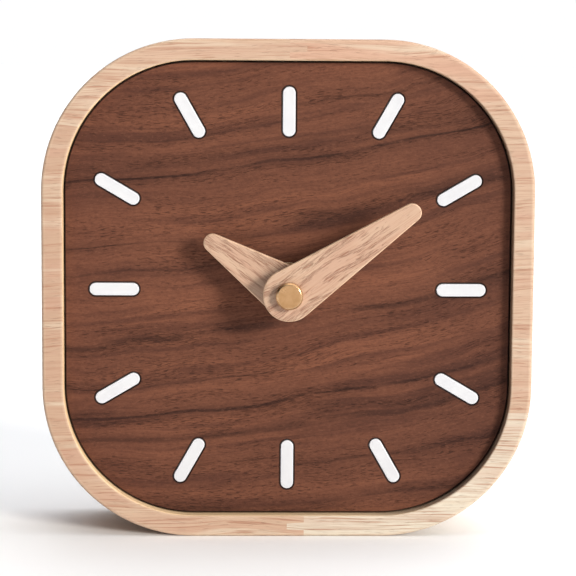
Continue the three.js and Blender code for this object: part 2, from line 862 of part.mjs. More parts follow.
function buildFrontPlate() {
  const outline = roundedRectangle(
    housingLeft, gearRoomBottom, housingWidth, housingTop - gearRoomBottom, housingCornerRadius,
  );
  const holeDepth = pivotLength + endClearance;
  const plate = cut(
    slab(outline, plateFront, plateBack, cornerSteps),
    rod(axis, bushingRadius + fastenClearance, plateFront - overrun, plateBack + overrun),
    rod(
      axis, bushingFlangeRadius + fastenClearance, plateBack - bushingFlange - pressClearance,
      plateBack + overrun,
    ),
    pivotHole(minuteWheelPlace, plateBack - holeDepth, plateBack + overrun),
    pivotHole(knobPlace, plateBack - holeDepth, plateBack + overrun),
    pivotHole(thirdPlace, plateBack - holeDepth, plateBack + overrun),
  );
  addPiece('movement_front_plate', plate, materials.blackPlastic);
}

function buildMiddlePlate() {
  const knobTip = knobPlace.x + tipRadius(knobPinionTeeth, motionModule);
  const postsLeft = postInset - middlePlateWest;
  const postsRight = knobTip + knobPostGap + postRadius;
  const bottom = axisHeight - middlePlateDrop;
  const outline = roundedRectangle(
    -middlePlateWest, bottom, postsRight + postInset + middlePlateWest, middlePlateTop - bottom,
    middlePlateCornerRadius,
  );
  outline.holes.push(circle(axis.x, axis.z, minuteStubRadius + runningClearance));
  outline.holes.push(circle(thirdPlace.x, thirdPlace.z, pivotRadius + runningClearance));
  outline.holes.push(circle(knobPlace.x, knobPlace.z, knobArborRadius + runningClearance));
  const posts = [];
  for (const x of [postsLeft, postsRight]) {
    for (const z of [bottom + postInset, middlePlateTop - postInset]) {
      posts.push(rod({ x, z }, postRadius, plateBack, middlePlateBack, pivotSteps));
    }
  }
  const holeDepth = pivotLength + pressClearance;
  const plate = cut(
    join(slab(outline, middlePlateFront, middlePlateBack, pivotSteps), ...posts),
    pivotHole(minuteWheelPlace, middlePlateFront - overrun, middlePlateFront + holeDepth),
    pivotHole(fifthPlace, middlePlateBack - holeDepth, middlePlateBack + overrun),
    pivotHole(rotorPlace, middlePlateBack - holeDepth, middlePlateBack + overrun),
  );
  addPiece('middle_plate', plate, materials.whitePlastic);
}

// A slot in the bay's roof for a contact's tail, on one side
function contactSlot(side) {
  const inner = side * (contactInner - fastenClearance);
  const outer = side * (contactOuter + fastenClearance / 2);
  return block(
    Math.min(inner, outer), Math.max(inner, outer),
    batteryCentre - contactTailWidth / 2 - fastenClearance,
    batteryCentre + contactTailWidth / 2 + fastenClearance,
    bayTop - overrun, gearRoomBottom + overrun,
  );
}

function buildRearCover() {
  const housingOutline = roundedRectangle(
    housingLeft, housingBottom, housingWidth, housingTop - housingBottom, housingCornerRadius,
  );
  const shell = slab(housingOutline, plateFront, housingBack, cornerSteps);
  const plateSeat = block(
    housingLeft - overrun, housingRight + overrun, plateFront - overrun, plateBack,
    gearRoomBottom - housingJoint, housingTop + overrun,
  );
  const gearRoomOutline = roundedRectangle(
    housingLeft + housingWall, gearRoomBottom, housingWidth - 2 * housingWall,
    housingTop - housingWall - gearRoomBottom, housingCornerRadius - housingWall,
  );
  const gearRoom = slab(gearRoomOutline, plateFront, housingInside, cornerSteps);
  const bay = block(
    housingLeft + housingWall, housingRight - housingWall, bayFront, housingBack + overrun,
    bayBottom, bayTop,
  );
  const bosses = [axis, thirdPlace, fifthPlace, rotorPlace].map((place) =>
    rod(place, postRadius, housingInside - pivotLength, housingInside + pivotLength, pivotSteps),
  );
  const holes = [axis, thirdPlace, fifthPlace, rotorPlace].map((place) =>
    pivotHole(place, housingInside - overrun, housingInside + pivotLength),
  );
  const seats = [statorLeft + statorLegWidth / 2, statorRight - statorLegWidth / 2].map((x) =>
    rod({ x, z: coreMiddle }, postRadius, statorBack, housingInside + pivotLength, pivotSteps),
  );
  const cover = cut(
    join(cut(shell, plateSeat, gearRoom, bay), ...bosses, ...seats),
    ...holes,
    rod(
      knobPlace, knobArborRadius + runningClearance, housingInside - overrun, housingBack + overrun,
    ),
    contactSlot(-1),
    contactSlot(1),
  );
  addPiece('movement_rear_cover', cover, materials.blackPlastic);
}

// Battery, its contacts and the setting knob

// A block of a contact on one side of the bay, between two distances from the middle
function contactBlock(side, near, width, bottom, top) {
  const left = Math.min(side * near, side * contactOuter);
  const right = Math.max(side * near, side * contactOuter);
  return block(left, right, batteryCentre - width / 2, batteryCentre + width / 2, bottom, top);
}

function buildContact(name, side) {
  const bumpInner = batteryLength / 2 + fastenClearance / 2;
  const bumpBottom = bayMiddle - contactBumpHeight / 2;
  const leafBottom = bayMiddle - contactDrop / 2;
  const contact = join(
    contactBlock(side, contactInner, contactWidth, leafBottom, bayTop - fastenClearance),
    contactBlock(side, bumpInner, contactBumpWidth, bumpBottom, bumpBottom + contactBumpHeight),
    contactBlock(
      side, contactInner, contactTailWidth, bayMiddle, gearRoomBottom + contactTailRise,
    ),
  );
  addPiece(name, contact, materials.nickel);
}

function buildBattery() {
  const can = batteryLength - batteryNubLength;
  const canMiddle = -batteryNubLength / 2;
  const sleeve = can - batteryShoulder;
  const sleeveMiddle = canMiddle - batteryShoulder / 2;
  const battery = join(
    lyingCylinder(batteryRadius, sleeve, sleeveMiddle, batteryCentre, bayMiddle),
    lyingCylinder(batteryRadius - batteryShoulder, can, canMiddle, batteryCentre, bayMiddle),
    lyingCylinder(batteryNubRadius, batteryLength, 0, batteryCentre, bayMiddle),
  );
  addPiece('battery', battery, materials.batterySleeve);
  buildContact('battery_contact_positive', 1);
  buildContact('battery_contact_negative', -1);
}

function buildKnob() {
  const front = housingBack + endClearance;
  const ribbed = gearAt(knobPlace, knobRibs, knobRibModule);
  const body = join(
    gearSolid(ribbed, front, front + knobThickness),
    rod(knobPlace, knobRadius, front, front + knobThickness / 2),
  );
  const boreEnd = front + knobBoreDepth + pressClearance;
  const bore = rod(knobPlace, knobArborRadius + pressClearance, front - overrun, boreEnd);
  addPiece('setting_knob', cut(body, bore), materials.blackPlastic);
}

buildCase();
buildDial();
buildMarkers();
buildHands();
buildCap();
buildFastening();
buildMinuteArbor();
buildMotionWork();
buildTrain();
buildStator();
buildCoil();
buildElectronics();
buildFrontPlate();
buildMiddlePlate();
buildRearCover();
buildBattery();
buildKnob();

export default clock;
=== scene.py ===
import json
import math

import bmesh
import bpy
from mathutils import Matrix, Vector
from mathutils.geometry import tessellate_polygon

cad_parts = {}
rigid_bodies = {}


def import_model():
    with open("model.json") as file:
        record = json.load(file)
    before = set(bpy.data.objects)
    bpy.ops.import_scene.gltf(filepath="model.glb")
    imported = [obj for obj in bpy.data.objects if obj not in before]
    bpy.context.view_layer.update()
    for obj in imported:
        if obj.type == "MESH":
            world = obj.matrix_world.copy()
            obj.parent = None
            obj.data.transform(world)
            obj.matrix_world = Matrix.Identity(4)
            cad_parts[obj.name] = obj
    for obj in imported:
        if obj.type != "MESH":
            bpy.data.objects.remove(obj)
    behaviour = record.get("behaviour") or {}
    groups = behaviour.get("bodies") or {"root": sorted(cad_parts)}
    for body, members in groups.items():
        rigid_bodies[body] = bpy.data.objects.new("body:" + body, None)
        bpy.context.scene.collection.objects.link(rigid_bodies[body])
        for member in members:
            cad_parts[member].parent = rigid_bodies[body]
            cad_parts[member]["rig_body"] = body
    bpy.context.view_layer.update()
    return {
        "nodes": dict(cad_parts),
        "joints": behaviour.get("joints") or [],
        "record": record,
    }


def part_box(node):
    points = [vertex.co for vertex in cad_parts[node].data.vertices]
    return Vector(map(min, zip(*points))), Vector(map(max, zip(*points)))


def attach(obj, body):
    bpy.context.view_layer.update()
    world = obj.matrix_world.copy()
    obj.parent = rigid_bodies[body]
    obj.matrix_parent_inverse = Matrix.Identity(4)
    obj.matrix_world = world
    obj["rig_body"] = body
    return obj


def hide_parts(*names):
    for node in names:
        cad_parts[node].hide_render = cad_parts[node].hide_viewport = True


# A wooden desk clock: the finish of its pieces, its camera and its light. Lengths are in metres,
# angles in degrees. X runs to the right, Y to the back and Z up.
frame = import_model()

MM = 0.001
NODE_BODY = {name: node["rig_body"] for name, node in frame["nodes"].items()}
NODE_SLOT = {part["node"]: part["material_slot"] for part in frame["record"]["subparts"]}
JOINT_PLACE = {joint["name"]: Vector(joint.get("pos_m", (0, 0, 0))) for joint in frame["joints"]}
AXIS = JOINT_PLACE["minute_spin"]
DIAL_MIDDLE = Matrix.Translation((AXIS.x, 0, AXIS.z))

# Case and dial
CORNER_RADIUS = 37.1 * MM
CASE_WALL = 5.2 * MM
LEDGE_WIDTH = 2.8 * MM
CASE_EDGE = 0.7 * MM
OPENING_EDGE = 0.45 * MM
LEDGE_EDGE = 0.15 * MM
DIAL_FIT = 0.3 * MM
DIAL_BORE = 4.4 * MM
DIAL_EDGE = 0.15 * MM
MARKER_COUNT = 12
MARKER_RADIUS = 1.55 * MM
MARKER_FIT = 0.16 * MM
MARKER_EDGE = 0.18 * MM

# Hands and the parts on their axis
HAND_HUB = 6.3 * MM
HAND_TIP = 2.2 * MM
HAND_EDGE = 0.32 * MM
MINUTE_REACH = 35.4 * MM
HOUR_REACH = 22 * MM
MINUTE_ANGLE = 55.7
HOUR_ANGLE = 303.1
HAND_BORE_FIT = 0.05 * MM
CAP_CHAMFER = 0.4 * MM
TURNED_EDGE = 0.08 * MM
BUSH_LENGTH = 1.7 * MM
HOUR_BUSH = 3.4 * MM
HOUR_BUSH_BORE = 2.55 * MM
MINUTE_BUSH = 2.4 * MM
MINUTE_BUSH_BORE = 1.5 * MM
NUT_FLATS = 11 * MM
NUT_CHAMFER = 0.5 * MM
NUT_SIDES = 6
BUSHING_RADIUS = 4 * MM
BUSHING_BORE = 2.8 * MM
BUSHING_FLANGE = 0.8 * MM
THREAD_PITCH = 0.5 * MM
THREAD_DEPTH = 0.2 * MM
WASHER_BORE = 4.3 * MM

# Movement, battery and knob
HOUSING_CORNER = 3 * MM
HOUSING_EDGE = 0.9 * MM
HOUSING_WALL = 1.3 * MM
HOUSING_JOINT = 0.3 * MM
PLATE_EDGE = 0.25 * MM
BAY_CLEARANCE = 0.5 * MM
BAY_FLOOR_GAP = 0.3 * MM
BAY_CORNER = 0.8 * MM
SLOT_HALF = 1.8 * MM
KNOB_HOLE = 1.15 * MM
WELL_RADIUS = 7 * MM
WELL_WIDTH = 0.5 * MM
WELL_DEPTH = 0.35 * MM
MARK_RISE = 0.25 * MM
MARK_LENGTH = 4 * MM
MARK_WIDTH = 1 * MM
MARK_INSET = 5.5 * MM
MARK_HEIGHT = 3.4 * MM
SLEEVE_THICKNESS = 0.12 * MM
SLEEVE_FOLD = 1.5 * MM
NUB_RADIUS = 2.75 * MM
NUB_LENGTH = 1.4 * MM
SHOULDER = 0.8 * MM
BATTERY_EDGE = 0.6 * MM
KNOB_RIBS = 24
KNOB_RIB_DEPTH = 0.24 * MM
KNOB_EDGE = 0.4 * MM
KNOB_DISH = 3.9 * MM
KNOB_DISH_DEPTH = 0.5 * MM

# Steps of round forms and of rounded edges
CORNER_STEPS = 28
TURN_STEPS = 64
END_STEPS = 14
EDGE_STEPS = 4
EDGE_SUPPORT = 0.35 * MM
SMOOTH_ANGLE = 38
MERGE_DISTANCE = 1e-7
OVERRUN = 1 * MM
SHARP_CORNER = 0.01 * MM
KNOB_RIB_STEPS = 8
BEVEL_SAMPLES = 4
EDGE_TURN = (0.995, 0.9)

# Finishes. The wood's relief is in metres, the lengths below it in millimetres
WOOD_RELIEF = 0.06 * MM
PLY_THICKNESS = 1.0
WIRE_RADIUS = 0.06
TRACK_PITCH = 2.4
SLEEVE_BAND = 12.0

# Camera, fitted to the photograph's frame of 576 by 576 pixels
IMAGE_WIDTH = 576
FOCAL_PIXELS = 2040
SENSOR_WIDTH = 36
CAMERA_DISTANCE = 0.5
CAMERA_AZIMUTH = -1.5
CAMERA_ELEVATION = 6.5
CAMERA_ROLL = 0.38
AIM = Vector((0.0, -13 * MM, 61.4 * MM))

# Light and floor. The sky's ranges are parts of the way to its top, back or right
SUN_AZIMUTH = 44
SUN_ELEVATION = 16
SUN_SPREAD = 18
SUN_STRENGTH = 3.9
SUN_TONE = (255, 250, 242)
SKY_TONE = (252, 253, 255)
OVERHEAD_STRENGTH = 2.75
HORIZON_STRENGTH = 1.03
OVERHEAD_RISE = (0.3, 1.0)
HORIZON_END = (0.08, 0.22)
DARK_FRONT = (-0.75, 0.0)
DARK_LEFT = (-0.7, 0.2)
FLOOR_SIZE = 40.0
FLOOR_ROUGHNESS = 0.9


# Outlines, as functions of an inset, each a list of (x, z) points seen from the front


def arc(x, z, radius, start, end, steps):
    """Points on an arc between two angles in radians, with both ends."""
    angles = [start + (end - start) * step / steps for step in range(steps + 1)]
    return [(x + radius * math.cos(angle), z + radius * math.sin(angle)) for angle in angles]


def circle(x, z, radius, steps=TURN_STEPS):
    return lambda inset: arc(x, z, radius - inset, 0, math.tau, steps)[:-1]


def rounded_box(left, bottom, right, top, radius, steps=CORNER_STEPS):
    quarter = math.pi / 2
    centres = [
        (right - radius, bottom + radius),
        (right - radius, top - radius),
        (left + radius, top - radius),
        (left + radius, bottom + radius),
    ]

    def outline(inset):
        points = []
        for turn, (x, z) in enumerate(centres):
            start = (turn - 1) * quarter
            points += arc(x, z, radius - inset, start, start + quarter, steps)
        return points

    return outline


def bar(x, z, start_radius, reach, angle, end_radius, steps=END_STEPS):
    """A bar with round ends of two radii, from a centre towards an angle in radians."""
    tangent = math.acos((start_radius - end_radius) / reach)
    start, end = angle + tangent, angle - tangent
    end_x = x + reach * math.cos(angle)
    end_z = z + reach * math.sin(angle)

    def outline(inset):
        back = arc(x, z, start_radius - inset, start, end + math.tau, 3 * steps)
        tip = arc(end_x, end_z, end_radius - inset, end, start, steps)
        return back + tip

    return outline


def hole(outline):
    """The same outline as a hole, which an inset makes wider."""
    return lambda inset: outline(-inset)


def case_outline(inset):
    low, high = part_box("case_ring")
    return rounded_box(low.x, low.z, high.x, high.z, CORNER_RADIUS)(inset)


def dial_outline(inset):
    return case_outline(CASE_WALL + DIAL_FIT + inset)


# Sections, as lists of (across, along, wear), where wear is 1 on a rounded edge and 0 beside it


def fillet(corner, before, after, radius):
    """A rounded corner with a support point on each leg."""
    here = Vector(corner)
    back = Vector(before) - here
    ahead = Vector(after) - here
    half = back.angle(ahead) / 2
    reach = radius / math.tan(half)
    back_support = reach + min(EDGE_SUPPORT, (back.length - reach) / 3)
    ahead_support = reach + min(EDGE_SUPPORT, (ahead.length - reach) / 3)
    centre = here + (back.normalized() + ahead.normalized()).normalized() * radius / math.sin(half)
    start = here + back.normalized() * reach - centre
    end = here + ahead.normalized() * reach - centre
    points = [(*(here + back.normalized() * back_support), 0.0)]
    for step in range(EDGE_STEPS + 1):
        share = step / EDGE_STEPS
        direction = start.slerp(end, share) if start.angle(end) > 0 else start
        points.append((*(centre + direction.normalized() * radius), 1.0))
    points.append((*(here + ahead.normalized() * ahead_support), 0.0))
    return points


def section(corners, closed=False):
    """A section through corners given as (across, along, radius), with each corner rounded."""
    count = len(corners)
    path = []
    for index, (across, along, radius) in enumerate(corners):
        if radius == 0:
            path.append((across, along, 0.0))
            continue
        before = corners[index - 1][:2]
        after = corners[(index + 1) % count][:2]
        path += fillet((across, along), before, after, radius)
    return path + path[:1] if closed else path


def slab_section(front, back, radius):
    """From the front face over two rounded edges to the back face."""
    margin = radius + 2 * EDGE_SUPPORT
    return section([(margin, front, 0), (0, front, radius), (0, back, radius), (margin, back, 0)])


# Meshes


def cap_faces(rings, first):
    """Triangles that fill a level's rings, the first ring less the others."""
    flat = [[Vector((x, z, 0)) for x, _, z in ring] for ring in rings]
    return [tuple(first + index for index in face) for face in tessellate_polygon(flat)]


def skin(name, levels, wear, capped=True):
    """A closed mesh over levels, each a list of rings of points."""
    sizes = [len(ring) for ring in levels[0]]
    per_level = sum(sizes)
    points = [point for level in levels for ring in level for point in ring]
    faces = []
    for level in range(len(levels) - 1):
        start = level * per_level
        for size in sizes:
            for step in range(size):
                near, far = start + step, start + (step + 1) % size
                faces.append((near, far, far + per_level, near + per_level))
            start += size
    if capped:
        faces += cap_faces(levels[0], 0)
        faces += cap_faces(levels[-1], (len(levels) - 1) * per_level)
    mesh = bpy.data.meshes.new(name)
    mesh.from_pydata(points, [], faces)
    attribute = mesh.attributes.new("wear", "FLOAT", "POINT")
    attribute.data.foreach_set("value", [share for share in wear for _ in range(per_level)])
    return finished(mesh)


def finished(mesh):
    """Merges doubled points, turns the faces outwards and smooths what isn't a sharp edge."""
    work = bmesh.new()
    work.from_mesh(mesh)
    bmesh.ops.remove_doubles(work, verts=work.verts, dist=MERGE_DISTANCE)
    bmesh.ops.recalc_face_normals(work, faces=work.faces)
    work.to_mesh(mesh)
    work.free()
    mesh.shade_smooth()
    mesh.set_sharp_from_angle(angle=math.radians(SMOOTH_ANGLE))
    return mesh


def plate(name, outlines, path):
    """A plate with the outlines and the section given; later outlines are its holes."""
    levels = [
        [[(x, along, z) for x, z in outline(across)] for outline in outlines]
        for across, along, _ in path
    ]
    return skin(name, levels, [point[2] for point in path])


def band(name, outline, corners):
    """A ring with a closed section that follows an outline."""
    path = section(corners, closed=True)
    levels = [[[(x, along, z) for x, z in outline(across)]] for across, along, _ in path]
    return skin(name, levels, [point[2] for point in path], capped=False)


def turned(name, corners, closed=True, steps=TURN_STEPS):
    """A round piece about the Y axis, with corners given as (radius, along, edge radius)."""
    path = section(corners, closed)
    levels = [
        [[(x, along, z) for x, z in circle(0, 0, radius, steps)(0)]] for radius, along, _ in path
    ]
    return skin(name, levels, [point[2] for point in path], capped=False)


def combined(mesh, cuts=(), additions=()):
    """A mesh with some meshes cut from it and others joined to it."""
    scene = bpy.context.scene.collection.objects
    body = bpy.data.objects.new(mesh.name, mesh)
    scene.link(body)
    tools = []
    pairs = [("DIFFERENCE", tool) for tool in cuts] + [("UNION", tool) for tool in additions]
    for operation, tool_mesh in pairs:
        tool = bpy.data.objects.new("tool", tool_mesh)
        scene.link(tool)
        modifier = body.modifiers.new(operation, "BOOLEAN")
        modifier.operation = operation
        modifier.solver = "EXACT"
        modifier.object = tool
        tools.append(tool)
    evaluated = body.evaluated_get(bpy.context.evaluated_depsgraph_get())
    result = bpy.data.meshes.new_from_object(evaluated)
    result.name = mesh.name
    for used in [body, *tools]:
        bpy.data.objects.remove(used)
    return finished(result)


def block(left, right, front, back, bottom, top, radius=SHARP_CORNER):
    """A plain block with upright corners, used as a cutting tool."""
    outline = rounded_box(left, bottom, right, top, radius, END_STEPS // 2)
    return plate("block", [outline], [(0, front, 0), (0, back, 0)])


def disc(x, z, radius, front, back):
    return plate("disc", [circle(x, z, radius)], [(0, front, 0), (0, back, 0)])


# Materials


def srgb(red, green, blue):
    """A colour given in 0 to 255 as it looks on a screen, as the linear colour a shader takes."""
    channels = []
    for value in (red, green, blue):
        share = value / 255
        low = share / 12.92
        high = ((share + 0.055) / 1.055) ** 2.4
        channels.append(low if share <= 0.04045 else high)
    return (*channels, 1.0)


class Nodes:
    """Short calls for the shader nodes of a material or a world, with its coordinates split up."""

    def __init__(self, owner, coordinate, scale=1.0):
        owner.use_nodes = True
        self.tree = owner.node_tree
        place = self.add("ShaderNodeTexCoord").outputs[coordinate]
        inputs = {0: place, 3: scale}
        self.place = self.add("ShaderNodeVectorMath", inputs, operation="SCALE").outputs[0]
        split = self.add("ShaderNodeSeparateXYZ", {"Vector": self.place})
        self.x, self.y, self.z = split.outputs

    def add(self, kind, inputs=None, **settings):
        made = self.tree.nodes.new(kind)
        for name, setting in settings.items():
            setattr(made, name, setting)
        for key, source in (inputs or {}).items():
            self.feed(made.inputs[key], source)
        return made

    def feed(self, socket, source):
        if isinstance(source, bpy.types.NodeSocket):
            self.tree.links.new(source, socket)
        else:
            socket.default_value = source

    def math(self, operation, first, second=0.0):
        return self.add("ShaderNodeMath", {0: first, 1: second}, operation=operation).outputs[0]

    def product(self, first, second):
        return self.math("MULTIPLY", first, second)

    def fade(self, value, low, high, start=0.0, end=1.0):
        """Goes smoothly from start to end while the value goes from low to high."""
        inputs = {0: value, 1: low, 2: high, 3: start, 4: end}
        return self.add("ShaderNodeMapRange", inputs, interpolation_type="SMOOTHSTEP").outputs[0]


class Graph(Nodes):
    """The nodes of one material, with coordinates in millimetres from its piece's origin."""

    def __init__(self, name):
        self.material = bpy.data.materials.new(name)
        super().__init__(self.material, "Object", 1 / MM)

    def length(self, place):
        return self.add("ShaderNodeVectorMath", {0: place}, operation="LENGTH").outputs[1]

    def dot(self, first, second):
        inputs = {0: first, 1: second}
        return self.add("ShaderNodeVectorMath", inputs, operation="DOT_PRODUCT").outputs[1]

    def joined(self, x, y, z):
        return self.add("ShaderNodeCombineXYZ", {0: x, 1: y, 2: z}).outputs[0]

    def noise(self, size, place=None, detail=2.0, roughness=0.5, seed=0.0):
        """Noise from 0 to 1, in patches of the size given in millimetres along X, Y and Z."""
        place = self.place if place is None else place
        scale = tuple(1 / length for length in size)
        inputs = {"Vector": place, "Location": (seed, seed, seed), "Scale": scale}
        mapped = self.add("ShaderNodeMapping", inputs).outputs[0]
        inputs = {"Vector": mapped, "Scale": 1.0, "Detail": detail, "Roughness": roughness}
        return self.add("ShaderNodeTexNoise", inputs).outputs[0]

    def mix(self, share, *tones):
        """Mixes two tones, each a socket or a colour as it looks on a screen."""
        first, second = (srgb(*tone) if isinstance(tone, tuple) else tone for tone in tones)
        made = self.add("ShaderNodeMix", {0: share, 6: first, 7: second}, data_type="RGBA")
        return made.outputs[2]

    def layer(self, color, tone, mask, low, high, strength=1.0):
        """Lays a tone over a colour, up to a strength, while the mask goes from low to high."""
        return self.mix(self.fade(mask, low, high, 0.0, strength), color, tone)

    def coat(self, color, tone, mask, strength):
        """Lays a tone over a colour by a mask times a strength."""
        return self.mix(self.product(mask, strength), color, tone)

    def wear(self):
        return self.add("ShaderNodeAttribute", attribute_name="wear").outputs["Fac"]

    def facing(self, axis):
        """How squarely a face looks along an axis, one way or the other."""
        normal = self.add("ShaderNodeNewGeometry").outputs["True Normal"]
        return self.math("ABSOLUTE", self.dot(normal, axis))

    def edges(self, radius):
        """The normal over softened edges, and a mask that is 1 on the edges."""
        soft = self.add("ShaderNodeBevel", {"Radius": radius}, samples=BEVEL_SAMPLES).outputs[0]
        true = self.add("ShaderNodeNewGeometry").outputs["Normal"]
        return soft, self.fade(self.dot(soft, true), *EDGE_TURN)

    def bump(self, height, distance, normal=None):
        inputs = {"Height": height, "Distance": distance, "Strength": 1.0}
        if normal is not None:
            inputs["Normal"] = normal
        return self.add("ShaderNodeBump", inputs).outputs[0]

    def finish(self, color, roughness, normal, specular=0.5, metallic=0.0):
        sources = {
            "Base Color": color,
            "Roughness": roughness,
            "Normal": normal,
            "Specular IOR Level": specular,
            "Metallic": metallic,
        }
        shader = self.tree.nodes["Principled BSDF"]
        for name, source in sources.items():
            self.feed(shader.inputs[name], source)
        return self.material


def wandering_place(graph, size, reach, detail=2.0, shift=0.0):
    """Grain coordinates, whose height rises and falls by the reach over patches of the size."""
    wander = graph.noise(size, detail=detail)
    height = graph.math("ADD", graph.z, graph.product(wander, reach))
    x, y = (graph.math("ADD", source, shift) for source in (graph.x, graph.y))
    return graph.joined(x, y, height)


# The case's blank is glued up from boards, whose joints are seen on its front. Lengths of the
# woods' figure are in millimetres
LEFT_GLUE_LINE = 45.2
RIGHT_GLUE_LINE = 31.0
TOP_GLUE_LINE = 107.0
FINGER_LENGTH = 4.2
FINGER_PITCH = 3.5
FINGER_SHIFT = 1.0
FINGER_FLANK = (0.2 * FINGER_PITCH, 0.28 * FINGER_PITCH)
BOARD_SHIFTS = (57.0, 31.0, 17.0, 43.0)
# Where the painted shade towards the case's left and right begins and ends
CASE_SHADE_SIDES = (42, 54)
# Where the painted shade on the ring's inner walls takes over from the painted light, along X
INNER_WALL_SHADE = (10, 45)


def stave_masks(graph):
    """Masks of the right, lower left, lower right and upper right boards; fingers join them."""
    tooth = graph.math("PINGPONG", graph.math("ADD", graph.z, FINGER_SHIFT), FINGER_PITCH / 2)
    joint = graph.fade(tooth, *FINGER_FLANK, 0.0, FINGER_LENGTH)
    right = graph.math("GREATER_THAN", graph.x, joint)
    left = graph.math("SUBTRACT", 1.0, right)
    lower_left = graph.product(left, graph.math("LESS_THAN", graph.z, LEFT_GLUE_LINE))
    lower_right = graph.product(right, graph.math("LESS_THAN", graph.z, RIGHT_GLUE_LINE))
    upper_right = graph.product(right, graph.math("GREATER_THAN", graph.z, TOP_GLUE_LINE))
    return right, lower_left, lower_right, upper_right


def stave_place(graph, masks):
    """Grain coordinates that jump from board to board and rise and fall along each."""
    shift = 0.0
    for mask, step in zip(masks, BOARD_SHIFTS):
        shift = graph.math("ADD", shift, graph.product(mask, step))
    return wandering_place(graph, (42, 14, 16), 6.0, shift=shift)


def stave_color(graph, masks):
    """The boards' own colours, with painted shade towards the case's left and right, most on the
    left.
    """
    right, lower_left, lower_right, upper_right = masks
    color = graph.mix(right, (187, 160, 138), (194, 168, 146))
    color = graph.mix(upper_right, color, (189, 153, 131))
    color = graph.mix(lower_left, color, (189, 161, 138))
    color = graph.mix(lower_right, color, (207, 198, 181))
    # Painted shade: darker towards the case's left and right, more strongly on the left, away from
    # the light.
    side = graph.fade(graph.math("ABSOLUTE", graph.x), *CASE_SHADE_SIDES)
    return graph.coat(color, (160, 124, 100), side, graph.fade(right, 0.0, 1.0, 0.42, 0.25))


def patched(graph, color, place, broad):
    """Pink and pale patches along the grain, and growth rings on the faces that cut it."""
    pale = graph.noise((40, 9, 3.0), place, seed=14.0)
    rings = graph.noise((60, 26, 1.3), seed=31.0)
    end = graph.fade(graph.facing((1, 0, 0)), 0.55, 0.95)
    along = graph.fade(end, 0.0, 1.0, 1.0, 0.15)
    color = graph.coat(color, (179, 140, 120), graph.fade(broad, 0.42, 0.7, 0.0, 0.5), along)
    color = graph.coat(color, (201, 186, 165), graph.fade(pale, 0.5, 0.72, 0.0, 0.6), along)
    return graph.coat(color, (158, 118, 92), graph.fade(rings, 0.4, 0.6, 0.2, 0.45), end)


def inward_share(graph):
    """How far a face of the ring looks towards the ring's middle, the mask for the painted light
    and shade on its inner walls.
    """
    normal = graph.add("ShaderNodeNewGeometry").outputs["True Normal"]
    across = graph.math("SUBTRACT", 0.0, graph.math("SIGN", graph.x))
    across = graph.product(across, graph.dot(normal, (1, 0, 0)))
    up = graph.math("SIGN", graph.math("SUBTRACT", AXIS.z / MM, graph.z))
    up = graph.product(up, graph.dot(normal, (0, 0, 1)))
    return graph.math("ADD", across, up)


def case_wood():
    graph = Graph("oiled_light_hardwood")
    masks = stave_masks(graph)
    place = stave_place(graph, masks)
    broad = graph.noise((60, 9, 4.5), place)
    lines = graph.noise((30, 1.1, 0.5), place, detail=3.0, roughness=0.6, seed=3.0)
    streaks = graph.noise((18, 0.9, 0.5), place, seed=9.0)
    hairs = graph.noise((34, 0.6, 0.27), place, seed=25.0)
    fibres = graph.noise((5, 0.5, 0.22), place, seed=17.0)
    pores = graph.noise((3.4, 0.25, 0.2), place, detail=1.0, seed=21.0)
    color = patched(graph, stave_color(graph, masks), place, broad)
    color = graph.layer(color, (163, 127, 105), lines, 0.5, 0.66, 0.4)
    color = graph.layer(color, (156, 112, 89), streaks, 0.59, 0.65, 0.7)
    color = graph.layer(color, (163, 122, 99), hairs, 0.56, 0.64, 0.45)
    color = graph.layer(color, (150, 117, 95), fibres, 0.45, 0.75, 0.25)
    color = graph.layer(color, (131, 86, 64), pores, 0.66, 0.74, 0.35)
    rubbed = graph.fade(broad, 0.3, 0.7, 0.1, 0.3)
    color = graph.coat(color, (207, 184, 158), graph.wear(), rubbed)
    # Painted light and shade on the ring's inner walls: golden on the left, where the light falls,
    # and dark towards the right, in the shade.
    painted_wall_light = graph.layer((238, 206, 158), (112, 80, 56), graph.x, *INNER_WALL_SHADE)
    color = graph.layer(color, painted_wall_light, inward_share(graph), 0.6, 0.95, 0.6)
    relief = graph.math("SUBTRACT", lines, graph.fade(pores, 0.6, 0.75))
    roughness = graph.fade(lines, 0.3, 0.8, 0.5, 0.64)
    return graph.finish(color, roughness, graph.bump(relief, WOOD_RELIEF), specular=0.25)


# Dark lines of the walnut: height over the dial's middle, half width, strength, and the side they
# are on, where 0 is both sides
WALNUT_LINES = (
    (44.4, 0.8, 0.45, 1),
    (41.0, 0.8, 0.45, -1),
    (34.5, 4.0, 0.35, 0),
    (31.0, 0.8, 0.85, 0),
    (16.5, 3.6, 0.6, 1),
    (15.0, 0.5, 0.5, -1),
    (8.8, 0.5, 0.45, -1),
    (-8.7, 1.7, 0.65, 0),
    (-19.2, 0.5, 0.45, -1),
    (-27.5, 0.9, 0.85, 0),
    (-31.5, 4.5, 0.45, 1),
    (-34.5, 1.6, 0.6, 0),
    (-42.6, 0.6, 0.4, -1),
    (-44.0, 0.8, 0.5, 1),
    (-52.5, 1.0, 0.5, 0),
)
LINE_CORE = 0.1
LINE_SIDE = 12
HALO_WIDTH = 2.6
HALO_STRENGTH = 0.4
GRAIN_SLOPE = 0.17
GRAIN_CURVE = 0.0013
GRAIN_WANDER = 7.0
LOW_GRAIN = (-48, -22)
LOW_GRAIN_SLOPE = 0.45
# Where the painted shade towards the dial's left and right begins and ends
WALNUT_SHADE_SIDES = (22, 50)


